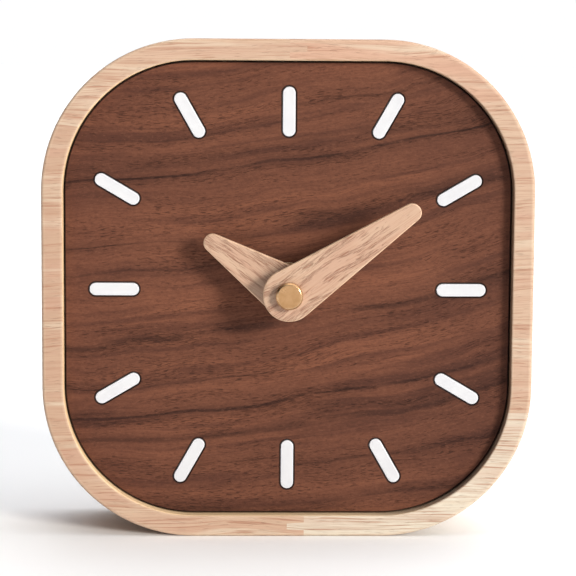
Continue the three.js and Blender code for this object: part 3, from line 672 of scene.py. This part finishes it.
def walnut_height(graph):
    """The height over the dial's middle, followed along the grain, which rises to the right."""
    height = graph.math("SUBTRACT", graph.z, AXIS.z / MM)
    curve = graph.math("ADD", graph.product(graph.x, GRAIN_CURVE), GRAIN_SLOPE)
    rise = graph.product(graph.x, curve)
    rise = graph.product(rise, graph.fade(height, *LOW_GRAIN, LOW_GRAIN_SLOPE, 1.0))
    wander = graph.noise((34, 60, 16), seed=5.0)
    wander = graph.product(graph.math("SUBTRACT", wander, 0.5), GRAIN_WANDER)
    return graph.math("ADD", graph.math("SUBTRACT", height, rise), wander)


def walnut_lines(graph, height):
    """How dark the named lines are at a point, each with a soft halo."""
    broken = graph.noise((18, 50, 4), detail=3.0, seed=11.0)
    total = 0.0
    for level, half_width, strength, side in WALNUT_LINES:
        distance = graph.math("ABSOLUTE", graph.math("SUBTRACT", height, level))
        line = graph.fade(distance, half_width, half_width * LINE_CORE, 0.0, strength)
        halo = graph.fade(distance, half_width + HALO_WIDTH, 0.0, 0.0, strength * HALO_STRENGTH)
        line = graph.math("MAXIMUM", line, halo)
        if side != 0:
            line = graph.product(line, graph.fade(graph.x, -LINE_SIDE * side, LINE_SIDE * side))
        total = graph.math("MAXIMUM", total, line)
    return graph.product(total, graph.fade(broken, 0.28, 0.56, 0.35, 1.0))


def walnut_pores(graph, place, lines):
    """Short dark pores, crowded in patches and along the dark lines."""
    pores = graph.noise((2.2, 0.4, 0.17), place, detail=1.0, seed=8.0)
    crowding = graph.noise((25, 9, 3), place, detail=1.0, seed=9.0)
    threshold = graph.fade(crowding, 0.35, 0.65, 0.16, 0.0)
    threshold = graph.math("SUBTRACT", threshold, graph.product(lines, 0.12))
    return graph.fade(graph.math("SUBTRACT", pores, threshold), 0.56, 0.66)


def walnut():
    graph = Graph("oiled_walnut")
    height = walnut_height(graph)
    place = graph.joined(graph.x, graph.y, height)
    broad = graph.noise((110, 30, 6.5), place, seed=2.0)
    bands = graph.noise((60, 10, 2.6), place, detail=3.0, roughness=0.55, seed=4.0)
    fibres = graph.noise((5, 0.8, 0.32), place, detail=3.0, roughness=0.65, seed=6.0)
    speckle = graph.noise((0.9, 0.5, 0.4), detail=3.0, roughness=0.7, seed=7.0)
    lines = walnut_lines(graph, height)
    pores = walnut_pores(graph, place, lines)
    color = graph.layer((115, 71, 52), (100, 61, 45), broad, 0.3, 0.7)
    color = graph.layer(color, (66, 38, 30), bands, 0.46, 0.7, 0.62)
    # Painted shade: darker towards the dial's left and right edges.
    side = graph.math("ABSOLUTE", graph.x)
    color = graph.layer(color, (72, 41, 31), side, *WALNUT_SHADE_SIDES, 0.35)
    color = graph.mix(lines, color, (38, 20, 16))
    color = graph.layer(color, (62, 35, 28), fibres, 0.35, 0.75, 0.4)
    color = graph.layer(color, (133, 90, 69), speckle, 0.5, 0.78, 0.25)
    color = graph.layer(color, (58, 35, 28), speckle, 0.5, 0.25, 0.5)
    color = graph.coat(color, (35, 18, 15), pores, 0.6)
    # The cut edges are charred dark, and darker still as painted shade in the gaps round the dial
    # and the markers.
    color = graph.coat(color, (22, 10, 8), graph.math("POWER", graph.wear(), 1.5), 0.9)
    relief = graph.math("SUBTRACT", graph.product(fibres, 0.4), pores)
    roughness = graph.fade(fibres, 0.3, 0.8, 0.55, 0.7)
    return graph.finish(color, roughness, graph.bump(relief, WOOD_RELIEF), specular=0.12)


def hand_wood():
    """A fine pale wood with short pores in streaks, and a painted highlight on its sides and
    edges.
    """
    graph = Graph("light_wood_of_the_hands")
    place = wandering_place(graph, (16, 8, 8), 3.0, detail=1.0)
    broad = graph.noise((22, 4, 2.2), place, seed=1.0)
    lines = graph.noise((12, 1.5, 0.22), place, seed=2.0)
    pores = graph.noise((3.0, 0.5, 0.12), place, detail=1.0, seed=3.0)
    crowding = graph.noise((14, 5, 1.4), place, detail=1.0, seed=4.0)
    threshold = graph.fade(crowding, 0.42, 0.58, 0.18, 0.0)
    pores = graph.fade(graph.math("SUBTRACT", pores, threshold), 0.5, 0.57)
    color = graph.layer((186, 156, 133), (181, 147, 125), broad, 0.35, 0.68)
    color = graph.layer(color, (158, 110, 86), lines, 0.54, 0.62, 0.32)
    color = graph.coat(color, (126, 76, 54), pores, 0.62)
    # Painted highlight: the sides and rounded edges are made paler and golden, as where light
    # falls on them.
    color = graph.layer(color, (246, 211, 174), graph.facing((0, 1, 0)), 0.98, 0.8, 0.42)
    relief = graph.math("SUBTRACT", graph.product(lines, 0.4), pores)
    roughness = graph.fade(lines, 0.3, 0.8, 0.52, 0.66)
    return graph.finish(color, roughness, graph.bump(relief, WOOD_RELIEF), specular=0.25)


def plywood():
    """Birch plywood, whose plies show on its sides."""
    graph = Graph("birch_plywood")
    place = wandering_place(graph, (30, 20, 12), 9.0)
    broad = graph.noise((60, 9, 7), place, seed=2.0)
    lines = graph.noise((30, 3, 1.1), place, detail=3.0, seed=5.0)
    flecks = graph.noise((2.2, 0.4, 0.3), place, detail=1.0, seed=6.0)
    color = graph.layer((226, 198, 160), (212, 176, 136), broad, 0.3, 0.7)
    color = graph.layer(color, (188, 152, 110), lines, 0.4, 0.75, 0.55)
    color = graph.layer(color, (160, 122, 84), flecks, 0.62, 0.72, 0.4)
    ply = graph.fade(graph.math("PINGPONG", graph.y, PLY_THICKNESS), 0.35, 0.65, 0.0, 0.35)
    side = graph.fade(graph.facing((0, 1, 0)), 0.5, 0.2)
    color = graph.coat(color, (150, 108, 70), ply, side)
    color = graph.coat(color, (140, 104, 70), graph.wear(), 0.4)
    relief = graph.math("SUBTRACT", lines, graph.fade(flecks, 0.6, 0.75))
    roughness = graph.fade(broad, 0.3, 0.7, 0.62, 0.75)
    return graph.finish(color, roughness, graph.bump(relief, 0.07 * MM))


def white_acrylic():
    graph = Graph("white_acrylic")
    cloud = graph.noise((4, 4, 4))
    scuffs = graph.noise((1.6, 1.6, 0.12), seed=4.0)
    color = graph.layer((202, 203, 206), (198, 199, 203), cloud, 0.3, 0.7)
    color = graph.coat(color, (214, 214, 220), graph.wear(), 0.4)
    roughness = graph.fade(scuffs, 0.3, 0.8, 0.28, 0.42)
    return graph.finish(color, roughness, graph.bump(scuffs, 0.01 * MM))


def brass():
    """Turned brass: rings of tool marks about the piece's own axis, with patina in patches."""
    graph = Graph("turned_brass")
    radius = graph.length(graph.joined(graph.x, 0.0, graph.z))
    rings = graph.noise((0.09, 1, 1), graph.joined(radius, 0.0, 0.0))
    patina = graph.noise((1.8, 1.8, 1.8), detail=3.0, seed=3.0)
    soft, edge = graph.edges(0.2 * MM)
    color = graph.layer((193, 152, 110), (178, 137, 95), patina, 0.3, 0.75)
    # Painted highlight: the rounded edges are made near white, as where the light glints on them.
    color = graph.coat(color, (252, 240, 212), edge, 0.8)
    roughness = graph.fade(patina, 0.3, 0.7, 0.26, 0.4)
    roughness = graph.product(roughness, graph.fade(edge, 0.0, 1.0, 1.0, 0.45))
    return graph.finish(color, roughness, graph.bump(rings, 0.012 * MM, soft), metallic=1.0)


def metal(name, light, dark, edge_tone, roughness_range, metallic=1.0):
    """A sheet or turned metal with fine brushed lines, cloudy stains and brighter edges."""
    graph = Graph(name)
    cloud = graph.noise((2.5, 2.5, 2.5), detail=3.0)
    lines = graph.noise((3.0, 0.08, 0.08), seed=5.0)
    soft, edge = graph.edges(0.1 * MM)
    color = graph.layer(light, dark, cloud, 0.3, 0.7)
    color = graph.coat(color, edge_tone, edge, 0.6)
    roughness = graph.fade(cloud, 0.3, 0.7, *roughness_range)
    return graph.finish(color, roughness, graph.bump(lines, 0.01 * MM, soft), metallic=metallic)


def plastic(name, light, dark, edge_tone, roughness_range, grain):
    """Moulded plastic with a spark-eroded grain, faint flow clouds and rubbed edges."""
    graph = Graph(name)
    cloud = graph.noise((9, 9, 9))
    sparks = graph.noise((0.16, 0.16, 0.16), detail=1.0, seed=5.0)
    scuffs = graph.noise((5, 0.4, 0.4), seed=8.0)
    soft, edge = graph.edges(0.18 * MM)
    color = graph.layer(light, dark, cloud, 0.3, 0.7)
    color = graph.layer(color, edge_tone, scuffs, 0.62, 0.8, 0.3)
    color = graph.coat(color, edge_tone, edge, 0.5)
    roughness = graph.fade(sparks, 0.3, 0.7, *roughness_range)
    return graph.finish(color, roughness, graph.bump(sparks, grain, soft))


def copper():
    """Enamelled wire wound round the core, seen as close rings along X."""
    graph = Graph("wound_copper_wire")
    turns = graph.math("PINGPONG", graph.x, WIRE_RADIUS)
    cloud = graph.noise((1.5, 1.5, 1.5), detail=3.0)
    color = graph.layer((188, 112, 66), (150, 82, 44), cloud, 0.3, 0.7)
    # Painted shade: dark lines in the creases between the turns.
    color = graph.mix(graph.fade(turns, 0.0, 0.02, 0.6, 0.0), color, (84, 42, 22))
    roughness = graph.fade(cloud, 0.3, 0.7, 0.3, 0.45)
    return graph.finish(color, roughness, graph.bump(turns, 0.05 * MM), metallic=0.7)


def circuit_board():
    """A green solder mask over copper tracks."""
    graph = Graph("green_circuit_board")
    glass = graph.noise((0.5, 0.5, 0.5), detail=1.0)
    tracks = graph.fade(graph.math("PINGPONG", graph.x, TRACK_PITCH / 2), 0.75, 0.85)
    soft, edge = graph.edges(0.1 * MM)
    color = graph.mix(tracks, (30, 92, 52), (48, 122, 66))
    color = graph.coat(color, (150, 150, 96), edge, 0.7)
    normal = graph.bump(graph.math("ADD", glass, tracks), 0.03 * MM, soft)
    return graph.finish(color, graph.fade(glass, 0.3, 0.7, 0.35, 0.5), normal)


def battery_sleeve():
    """A shrink sleeve in two plain colours, with a thin silver line where they meet."""
    graph = Graph("battery_shrink_sleeve")
    cloud = graph.noise((6, 6, 6))
    wrinkles = graph.noise((0.7, 3, 3), seed=3.0)
    scratches = graph.noise((6, 0.2, 0.2), detail=1.0, seed=6.0)
    color = graph.layer((52, 66, 82), (44, 56, 72), cloud, 0.3, 0.7)
    from_band = graph.math("SUBTRACT", graph.x, SLEEVE_BAND)
    color = graph.layer(color, (206, 208, 210), from_band, 0.0, 0.1)
    from_band = graph.math("ABSOLUTE", from_band)
    color = graph.layer(color, (120, 124, 130), from_band, 0.4, 0.3)
    color = graph.layer(color, (150, 158, 168), scratches, 0.68, 0.78, 0.3)
    color = graph.coat(color, (150, 156, 164), graph.wear(), 0.4)
    roughness = graph.fade(cloud, 0.3, 0.7, 0.25, 0.38)
    return graph.finish(color, roughness, graph.bump(wrinkles, 0.02 * MM))


def floor_material():
    graph = Graph("pale_floor")
    cloud = graph.noise((220, 220, 220))
    color = graph.layer((250, 250, 250), (248, 248, 249), cloud, 0.2, 0.8)
    return graph.finish(color, FLOOR_ROUGHNESS, graph.bump(cloud, 0.1 * MM), specular=0.1)


MATERIALS = {
    "case_wood": case_wood(),
    "walnut": walnut(),
    "plywood": plywood(),
    "hand_wood": hand_wood(),
    "white_acrylic": white_acrylic(),
    "brass": brass(),
    "steel": metal(
        "stamped_steel", (200, 202, 205), (176, 178, 182), (225, 226, 228), (0.28, 0.42)
    ),
    "nickel": metal(
        "nickel_plate", (220, 219, 214), (200, 199, 194), (238, 237, 234), (0.18, 0.3)
    ),
    "magnet": metal(
        "sintered_magnet", (86, 86, 90), (66, 66, 70), (120, 120, 124), (0.45, 0.6), 0.7
    ),
    "copper": copper(),
    "black_plastic": plastic(
        "black_moulded_plastic", (34, 34, 36), (27, 27, 29), (74, 74, 77), (0.42, 0.58), 0.02 * MM
    ),
    "white_plastic": plastic(
        "natural_acetal", (236, 234, 226), (226, 223, 212), (246, 245, 240), (0.35, 0.5), 0.01 * MM
    ),
    "rubber": plastic(
        "black_rubber", (38, 38, 38), (30, 30, 30), (66, 66, 66), (0.75, 0.9), 0.03 * MM
    ),
    "circuit_board": circuit_board(),
    "resin": plastic(
        "cast_resin", (22, 22, 24), (16, 16, 18), (48, 48, 52), (0.2, 0.4), 0.01 * MM
    ),
    "battery_sleeve": battery_sleeve(),
}


# Pieces


def add_piece(mesh, nodes, matrix=None, material=None):
    """Puts a mesh in the scene for the CAD nodes named, on their body and in their finish."""
    piece = bpy.data.objects.new(mesh.name, mesh)
    bpy.context.scene.collection.objects.link(piece)
    if matrix is not None:
        piece.matrix_world = matrix
    slot = NODE_SLOT[nodes[0]]
    mesh.materials.clear()
    mesh.materials.append(material or MATERIALS[slot])
    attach(piece, NODE_BODY[nodes[0]])
    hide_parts(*nodes)
    return piece


def on_axis(joint):
    """The place of a piece that is drawn about the axis of a joint."""
    return Matrix.Translation(JOINT_PLACE[joint])


def build_case():
    low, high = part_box("case_ring")
    backer_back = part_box("dial_backer")[1].y
    corners = [
        (0, low.y, CASE_EDGE),
        (CASE_WALL, low.y, OPENING_EDGE),
        (CASE_WALL, backer_back, LEDGE_EDGE),
        (CASE_WALL + LEDGE_WIDTH, backer_back, LEDGE_EDGE),
        (CASE_WALL + LEDGE_WIDTH, high.y, OPENING_EDGE),
        (0, high.y, CASE_EDGE),
    ]
    add_piece(band("hardwood_case", case_outline, corners), ["case_ring"])


def marker_bar(node, margin):
    """A marker's outline from its CAD node's box: the longest line that its round ends leave."""
    low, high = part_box(node)
    middle = (low + high) / 2
    half_x = (high.x - low.x) / 2 - MARKER_RADIUS
    half_z = (high.z - low.z) / 2 - MARKER_RADIUS
    outwards = middle - AXIS
    x = math.copysign(half_x, outwards.x)
    z = math.copysign(half_z, outwards.z)
    radius = MARKER_RADIUS + margin
    return bar(middle.x - x, middle.z - z, radius, 2 * math.hypot(x, z), math.atan2(z, x), radius)


def build_dial():
    low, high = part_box("dial_panel")
    bore = hole(circle(AXIS.x, AXIS.z, DIAL_BORE))
    nodes = [f"marker_{hour:02d}" for hour in range(1, MARKER_COUNT + 1)]
    slots = [hole(marker_bar(node, MARKER_FIT)) for node in nodes]
    path = slab_section(low.y, high.y, DIAL_EDGE)
    add_piece(plate("walnut_dial", [dial_outline, bore, *slots], path), ["dial_panel"])
    low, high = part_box("dial_backer")
    path = slab_section(low.y, high.y, DIAL_EDGE)
    add_piece(plate("plywood_backer", [dial_outline, bore], path), ["dial_backer"])
    for node in nodes:
        low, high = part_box(node)
        path = slab_section(low.y, high.y, MARKER_EDGE)
        add_piece(plate(f"acrylic_{node}", [marker_bar(node, 0)], path), [node])


def build_hand(name, node, joint, reach, clockwise, bush_radius):
    low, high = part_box(node)
    outlines = [
        bar(0, 0, HAND_HUB, reach, 0, HAND_TIP),
        hole(circle(0, 0, bush_radius + HAND_BORE_FIT)),
    ]
    mesh = plate(name, outlines, slab_section(low.y, high.y, HAND_EDGE))
    place = on_axis(joint) @ Matrix.Rotation(math.radians(clockwise - 90), 4, "Y")
    add_piece(mesh, [node], place)


def build_bush(name, node, joint, radius, bore):
    low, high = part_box(node)
    flange = (high.x - low.x) / 2
    shoulder = low.y + BUSH_LENGTH
    corners = [
        (bore, low.y, TURNED_EDGE),
        (radius, low.y, TURNED_EDGE),
        (radius, shoulder, TURNED_EDGE),
        (flange, shoulder, TURNED_EDGE),
        (flange, high.y, TURNED_EDGE),
        (bore, high.y, TURNED_EDGE),
    ]
    add_piece(turned(name, corners), [node], on_axis(joint))


def build_hands():
    build_hand("wooden_hour_hand", "hour_hand", "hour_spin", HOUR_REACH, HOUR_ANGLE, HOUR_BUSH)
    build_hand(
        "wooden_minute_hand", "minute_hand", "minute_spin", MINUTE_REACH, MINUTE_ANGLE, MINUTE_BUSH
    )
    build_bush("hour_bush_turned", "hour_hand_bush", "hour_spin", HOUR_BUSH, HOUR_BUSH_BORE)
    build_bush(
        "minute_bush_turned", "minute_hand_bush", "minute_spin", MINUTE_BUSH, MINUTE_BUSH_BORE
    )


def build_cap():
    low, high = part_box("hand_cap")
    radius = (high.x - low.x) / 2
    corners = [
        (0, low.y, 0),
        (radius - CAP_CHAMFER, low.y, TURNED_EDGE),
        (radius, low.y + CAP_CHAMFER, TURNED_EDGE),
        (radius, high.y, TURNED_EDGE),
        (0, high.y, 0),
    ]
    mesh = turned("turned_brass_cap", corners, closed=False)
    add_piece(mesh, ["hand_cap"], on_axis("minute_spin"))


def nut_ring(limit, y):
    """A ring of the nut, where a cone of the radius given cuts off the hexagon's corners."""
    points = []
    steps = NUT_SIDES * END_STEPS
    for step in range(steps):
        angle = math.tau * step / steps
        from_flat = (angle + math.pi / NUT_SIDES) % (math.tau / NUT_SIDES) - math.pi / NUT_SIDES
        flat = NUT_FLATS / 2 / math.cos(abs(from_flat) - math.pi / NUT_SIDES)
        radius = min(flat, limit)
        points.append((radius * math.cos(angle), y, radius * math.sin(angle)))
    return [points]


def build_nut():
    low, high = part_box("hex_nut")
    corner = NUT_FLATS / 2 / math.cos(math.pi / NUT_SIDES)
    face = NUT_FLATS / 2 - NUT_CHAMFER / 2
    bore = BUSHING_RADIUS + HAND_BORE_FIT
    levels = [
        nut_ring(bore, low.y + TURNED_EDGE),
        nut_ring(bore + TURNED_EDGE, low.y),
        nut_ring(face, low.y),
        nut_ring((face + corner) / 2, low.y + NUT_CHAMFER / 2),
        nut_ring(corner, low.y + NUT_CHAMFER),
        nut_ring(corner, high.y - NUT_CHAMFER),
        nut_ring((face + corner) / 2, high.y - NUT_CHAMFER / 2),
        nut_ring(face, high.y),
        nut_ring(bore, high.y),
        nut_ring(bore, low.y + TURNED_EDGE),
    ]
    mesh = skin("chamfered_nut", levels, [0.0] * len(levels), capped=False)
    add_piece(mesh, ["hex_nut"], DIAL_MIDDLE)


def build_washer():
    low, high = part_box("brass_washer")
    radius = (high.x - low.x) / 2
    corners = [
        (WASHER_BORE, low.y, TURNED_EDGE),
        (radius, low.y, TURNED_EDGE),
        (radius, high.y, TURNED_EDGE),
        (WASHER_BORE, high.y, TURNED_EDGE),
    ]
    add_piece(turned("rounded_washer", corners), ["brass_washer"], DIAL_MIDDLE)


def build_bushing():
    """The clamping bush, with its thread as close grooves from the dial to its mouth."""
    low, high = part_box("threaded_bushing")
    flange = (high.x - low.x) / 2
    shoulder = high.y - BUSHING_FLANGE
    thread_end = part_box("dial_panel")[0].y
    corners = [(BUSHING_BORE, low.y, TURNED_EDGE), (BUSHING_RADIUS - THREAD_DEPTH, low.y, 0)]
    groove = low.y + THREAD_PITCH / 2
    while groove < thread_end:
        corners.append((BUSHING_RADIUS, groove, 0))
        corners.append((BUSHING_RADIUS - THREAD_DEPTH, groove + THREAD_PITCH / 2, 0))
        groove += THREAD_PITCH
    corners += [
        (BUSHING_RADIUS, groove, 0),
        (BUSHING_RADIUS, shoulder, 0),
        (flange, shoulder, TURNED_EDGE),
        (flange, high.y, TURNED_EDGE),
        (BUSHING_BORE, high.y, TURNED_EDGE),
    ]
    add_piece(turned("threaded_brass_bush", corners), ["threaded_bushing"], DIAL_MIDDLE)


def build_front_plate():
    low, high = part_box("movement_front_plate")
    outline = rounded_box(low.x, low.z, high.x, high.z, HOUSING_CORNER, END_STEPS)
    bore = hole(circle(AXIS.x, AXIS.z, BUSHING_RADIUS + PLATE_EDGE))
    path = slab_section(low.y, high.y, PLATE_EDGE)
    add_piece(plate("moulded_front_plate", [outline, bore], path), ["movement_front_plate"])


def cover_cuts(low, high, room_bottom, bay_low, bay_high):
    """The spaces in the rear cover: seat, gear room, battery bay, knob hole and contact slots."""
    plate_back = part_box("movement_front_plate")[1].y
    knob = JOINT_PLACE["setting_spin"]
    inner_back = high.y - HOUSING_WALL
    cuts = [
        block(
            low.x - OVERRUN, high.x + OVERRUN, low.y - OVERRUN, plate_back,
            room_bottom - HOUSING_JOINT, high.z + OVERRUN,
        ),
        block(
            low.x + HOUSING_WALL, high.x - HOUSING_WALL, low.y - OVERRUN, inner_back,
            room_bottom, high.z - HOUSING_WALL, HOUSING_CORNER - HOUSING_WALL,
        ),
        block(
            bay_low.x, bay_high.x, bay_low.y, high.y + OVERRUN, bay_low.z, bay_high.z, BAY_CORNER
        ),
        disc(knob.x, knob.z, KNOB_HOLE, inner_back - OVERRUN, high.y + OVERRUN),
    ]
    for node in ("battery_contact_positive", "battery_contact_negative"):
        near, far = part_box(node)
        middle = (near.y + far.y) / 2
        left, right = near.x - HOUSING_JOINT, far.x + HOUSING_JOINT
        front, back = middle - SLOT_HALF, middle + SLOT_HALF
        cuts.append(block(left, right, front, back, bay_high.z - OVERRUN, room_bottom + OVERRUN))
    return cuts


def groove_ring(x, z, radius, width, back, depth):
    """A round groove's cutting ring, open towards the back."""
    outlines = [circle(x, z, radius + width / 2), circle(x, z, radius - width / 2)]
    return plate("groove", outlines, [(0, back - depth, 0), (0, back + OVERRUN, 0)])


def raised_bar(x, z, half_width, half_height, back):
    """A bar raised on the rear cover's back, as a stroke of a polarity sign."""
    sides = (x - half_width, x + half_width, back - MARK_RISE, back + MARK_RISE)
    return block(*sides, z - half_height, z + half_height)


def cover_marks(low, high, bay_high, back):
    """The polarity signs over the bay: a plus at the right end and a minus at the left."""
    z = bay_high.z + MARK_HEIGHT
    plus = high.x - MARK_INSET
    minus = low.x + MARK_INSET
    long, short = MARK_LENGTH / 2, MARK_WIDTH / 2
    across = raised_bar(plus, z, long, short, back)
    upright = raised_bar(plus, z, short, long, back)
    return [combined(across, additions=[upright]), raised_bar(minus, z, long, short, back)]


def build_rear_cover():
    low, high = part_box("movement_rear_cover")
    battery_low, battery_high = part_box("battery")
    room_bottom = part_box("movement_front_plate")[0].z
    knob = JOINT_PLACE["setting_spin"]
    bay_floor, bay_bottom = battery_low.y - BAY_FLOOR_GAP, battery_low.z - BAY_CLEARANCE
    bay_low = Vector((low.x + HOUSING_WALL, bay_floor, bay_bottom))
    bay_high = Vector((high.x - HOUSING_WALL, high.y, battery_high.z + BAY_CLEARANCE))
    outline = rounded_box(low.x, low.z, high.x, high.z, HOUSING_CORNER, END_STEPS)
    margin = HOUSING_EDGE + 2 * EDGE_SUPPORT
    corners = [(margin, low.y, 0), (0, low.y, PLATE_EDGE), (0, high.y, HOUSING_EDGE)]
    path = section([*corners, (margin, high.y, 0)])
    body = plate("moulded_rear_cover", [outline], path)
    cuts = cover_cuts(low, high, room_bottom, bay_low, bay_high)
    cuts.append(groove_ring(knob.x, knob.z, WELL_RADIUS, WELL_WIDTH, high.y, WELL_DEPTH))
    cover = combined(body, cuts, cover_marks(low, high, bay_high, high.y))
    add_piece(cover, ["movement_rear_cover"])


def build_battery():
    """A steel can with a sleeve folded over both of its ends, lying with its nub to the right."""
    low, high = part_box("battery")
    radius = (high.z - low.z) / 2
    end = (high.x - low.x) / 2
    top = end - NUB_LENGTH
    fold = radius - SLEEVE_FOLD
    can = radius - SLEEVE_THICKNESS
    can_bottom = SLEEVE_THICKNESS - end
    can_top = top - SHOULDER / 2 - SLEEVE_THICKNESS
    can_corners = [
        (0, can_bottom, 0),
        (can, can_bottom, SLEEVE_THICKNESS),
        (can, can_top, SLEEVE_THICKNESS),
        (fold - SLEEVE_THICKNESS, can_top, SLEEVE_THICKNESS),
        (NUB_RADIUS + SHOULDER, top, SLEEVE_THICKNESS),
        (NUB_RADIUS, top, SLEEVE_THICKNESS),
        (NUB_RADIUS, end, BATTERY_EDGE),
        (0, end, 0),
    ]
    sleeve_corners = [
        (fold, -end, SLEEVE_THICKNESS),
        (radius, -end, BATTERY_EDGE),
        (radius, top - SHOULDER / 2, BATTERY_EDGE),
        (fold, top - SHOULDER / 2, SLEEVE_THICKNESS),
    ]
    lying = Matrix.Rotation(math.radians(-90), 4, "Z")
    place = Matrix.Translation((low + high) / 2)
    ends = turned("battery_can", can_corners, closed=False)
    sleeve = turned("battery_wrap", sleeve_corners)
    for mesh in (ends, sleeve):
        mesh.transform(lying)
    add_piece(ends, ["battery"], place, MATERIALS["steel"])
    add_piece(sleeve, ["battery"], place)


def knob_ring(radius, ribs, y):
    """A ring of the knob, with ribs that stand as high as given."""
    points = []
    steps = KNOB_RIBS * KNOB_RIB_STEPS
    for step in range(steps):
        angle = math.tau * step / steps
        reach = radius + ribs * math.cos(KNOB_RIBS * angle)
        points.append((reach * math.cos(angle), y, reach * math.sin(angle)))
    return [points]


def build_knob():
    low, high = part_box("setting_knob")
    rib = KNOB_RIB_DEPTH
    radius = (high.x - low.x) / 2 - rib
    inside = radius - 2 * KNOB_EDGE
    levels = [
        knob_ring(0, 0, low.y),
        knob_ring(inside, 0, low.y),
        knob_ring(radius - KNOB_EDGE / 2, rib / 2, low.y),
        knob_ring(radius, rib, low.y + KNOB_EDGE / 2),
        knob_ring(radius, rib, high.y - KNOB_EDGE),
        knob_ring(radius - KNOB_EDGE * 0.3, rib * 0.8, high.y - KNOB_EDGE * 0.3),
        knob_ring(radius - KNOB_EDGE, rib * 0.3, high.y),
        knob_ring(inside, 0, high.y),
        knob_ring(KNOB_DISH, 0, high.y),
        knob_ring(KNOB_DISH - KNOB_EDGE / 2, 0, high.y - KNOB_EDGE / 4),
        knob_ring(KNOB_DISH - KNOB_EDGE, 0, high.y - KNOB_DISH_DEPTH),
        knob_ring(0, 0, high.y - KNOB_DISH_DEPTH),
    ]
    mesh = skin("ribbed_setting_knob", levels, [0.0] * len(levels), capped=False)
    place = JOINT_PLACE["setting_spin"]
    add_piece(mesh, ["setting_knob"], Matrix.Translation((place.x, 0, place.z)))


def finish_frame_nodes():
    """Gives every CAD node that stays in view its finish."""
    for name, node in frame["nodes"].items():
        for holder in node.material_slots:
            holder.material = MATERIALS[NODE_SLOT[name]]


# Camera, floor and light


def direction(azimuth, elevation):
    """The way from the object to a point at an azimuth, 0 in front and positive to the right."""
    across, up = math.radians(azimuth), math.radians(elevation)
    return Vector(
        (math.sin(across) * math.cos(up), -math.cos(across) * math.cos(up), math.sin(up))
    )


def make_camera():
    data = bpy.data.cameras.new("camera")
    data.sensor_width = SENSOR_WIDTH
    data.lens = SENSOR_WIDTH * FOCAL_PIXELS / IMAGE_WIDTH
    camera = bpy.data.objects.new("camera", data)
    bpy.context.scene.collection.objects.link(camera)
    out = direction(CAMERA_AZIMUTH, CAMERA_ELEVATION)
    camera.location = AIM + out * CAMERA_DISTANCE
    roll = Matrix.Rotation(math.radians(CAMERA_ROLL), 3, "Z")
    camera.rotation_euler = ((-out).to_track_quat("-Z", "Y").to_matrix() @ roll).to_euler()
    bpy.context.scene.camera = camera


def make_floor():
    half = FLOOR_SIZE / 2
    mesh = bpy.data.meshes.new("floor")
    corners = [(-half, -half, 0), (half, -half, 0), (half, half, 0), (-half, half, 0)]
    mesh.from_pydata(corners, [], [(0, 1, 2, 3)])
    mesh.materials.append(floor_material())
    floor = bpy.data.objects.new("floor", mesh)
    bpy.context.scene.collection.objects.link(floor)


def make_sun():
    data = bpy.data.lights.new("window", "SUN")
    data.energy = SUN_STRENGTH
    data.angle = math.radians(SUN_SPREAD)
    data.color = srgb(*SUN_TONE)[:3]
    sun = bpy.data.objects.new("window", data)
    towards = -direction(SUN_AZIMUTH, SUN_ELEVATION)
    sun.rotation_euler = towards.to_track_quat("-Z", "Y").to_euler()
    bpy.context.scene.collection.objects.link(sun)


def make_world():
    """A white studio, dark on the photographer's side and on the left above a bright horizon."""
    world = bpy.data.worlds.new("studio")
    bpy.context.scene.world = world
    sky = Nodes(world, "Generated")
    height = sky.fade(sky.z, *OVERHEAD_RISE, HORIZON_STRENGTH, OVERHEAD_STRENGTH)
    lit = sky.product(sky.fade(sky.y, *DARK_FRONT), sky.fade(sky.x, *DARK_LEFT))
    share = sky.fade(sky.z, *HORIZON_END, 1.0, lit)
    background = sky.tree.nodes["Background"]
    sky.feed(background.inputs["Strength"], sky.product(height, share))
    background.inputs["Color"].default_value = srgb(*SKY_TONE)


make_camera()
make_floor()
make_sun()
make_world()
bpy.context.scene.view_settings.view_transform = "Standard"
finish_frame_nodes()
build_case()
build_dial()
build_hands()
build_cap()
build_nut()
build_washer()
build_bushing()
build_front_plate()
build_rear_cover()
build_battery()
build_knob()
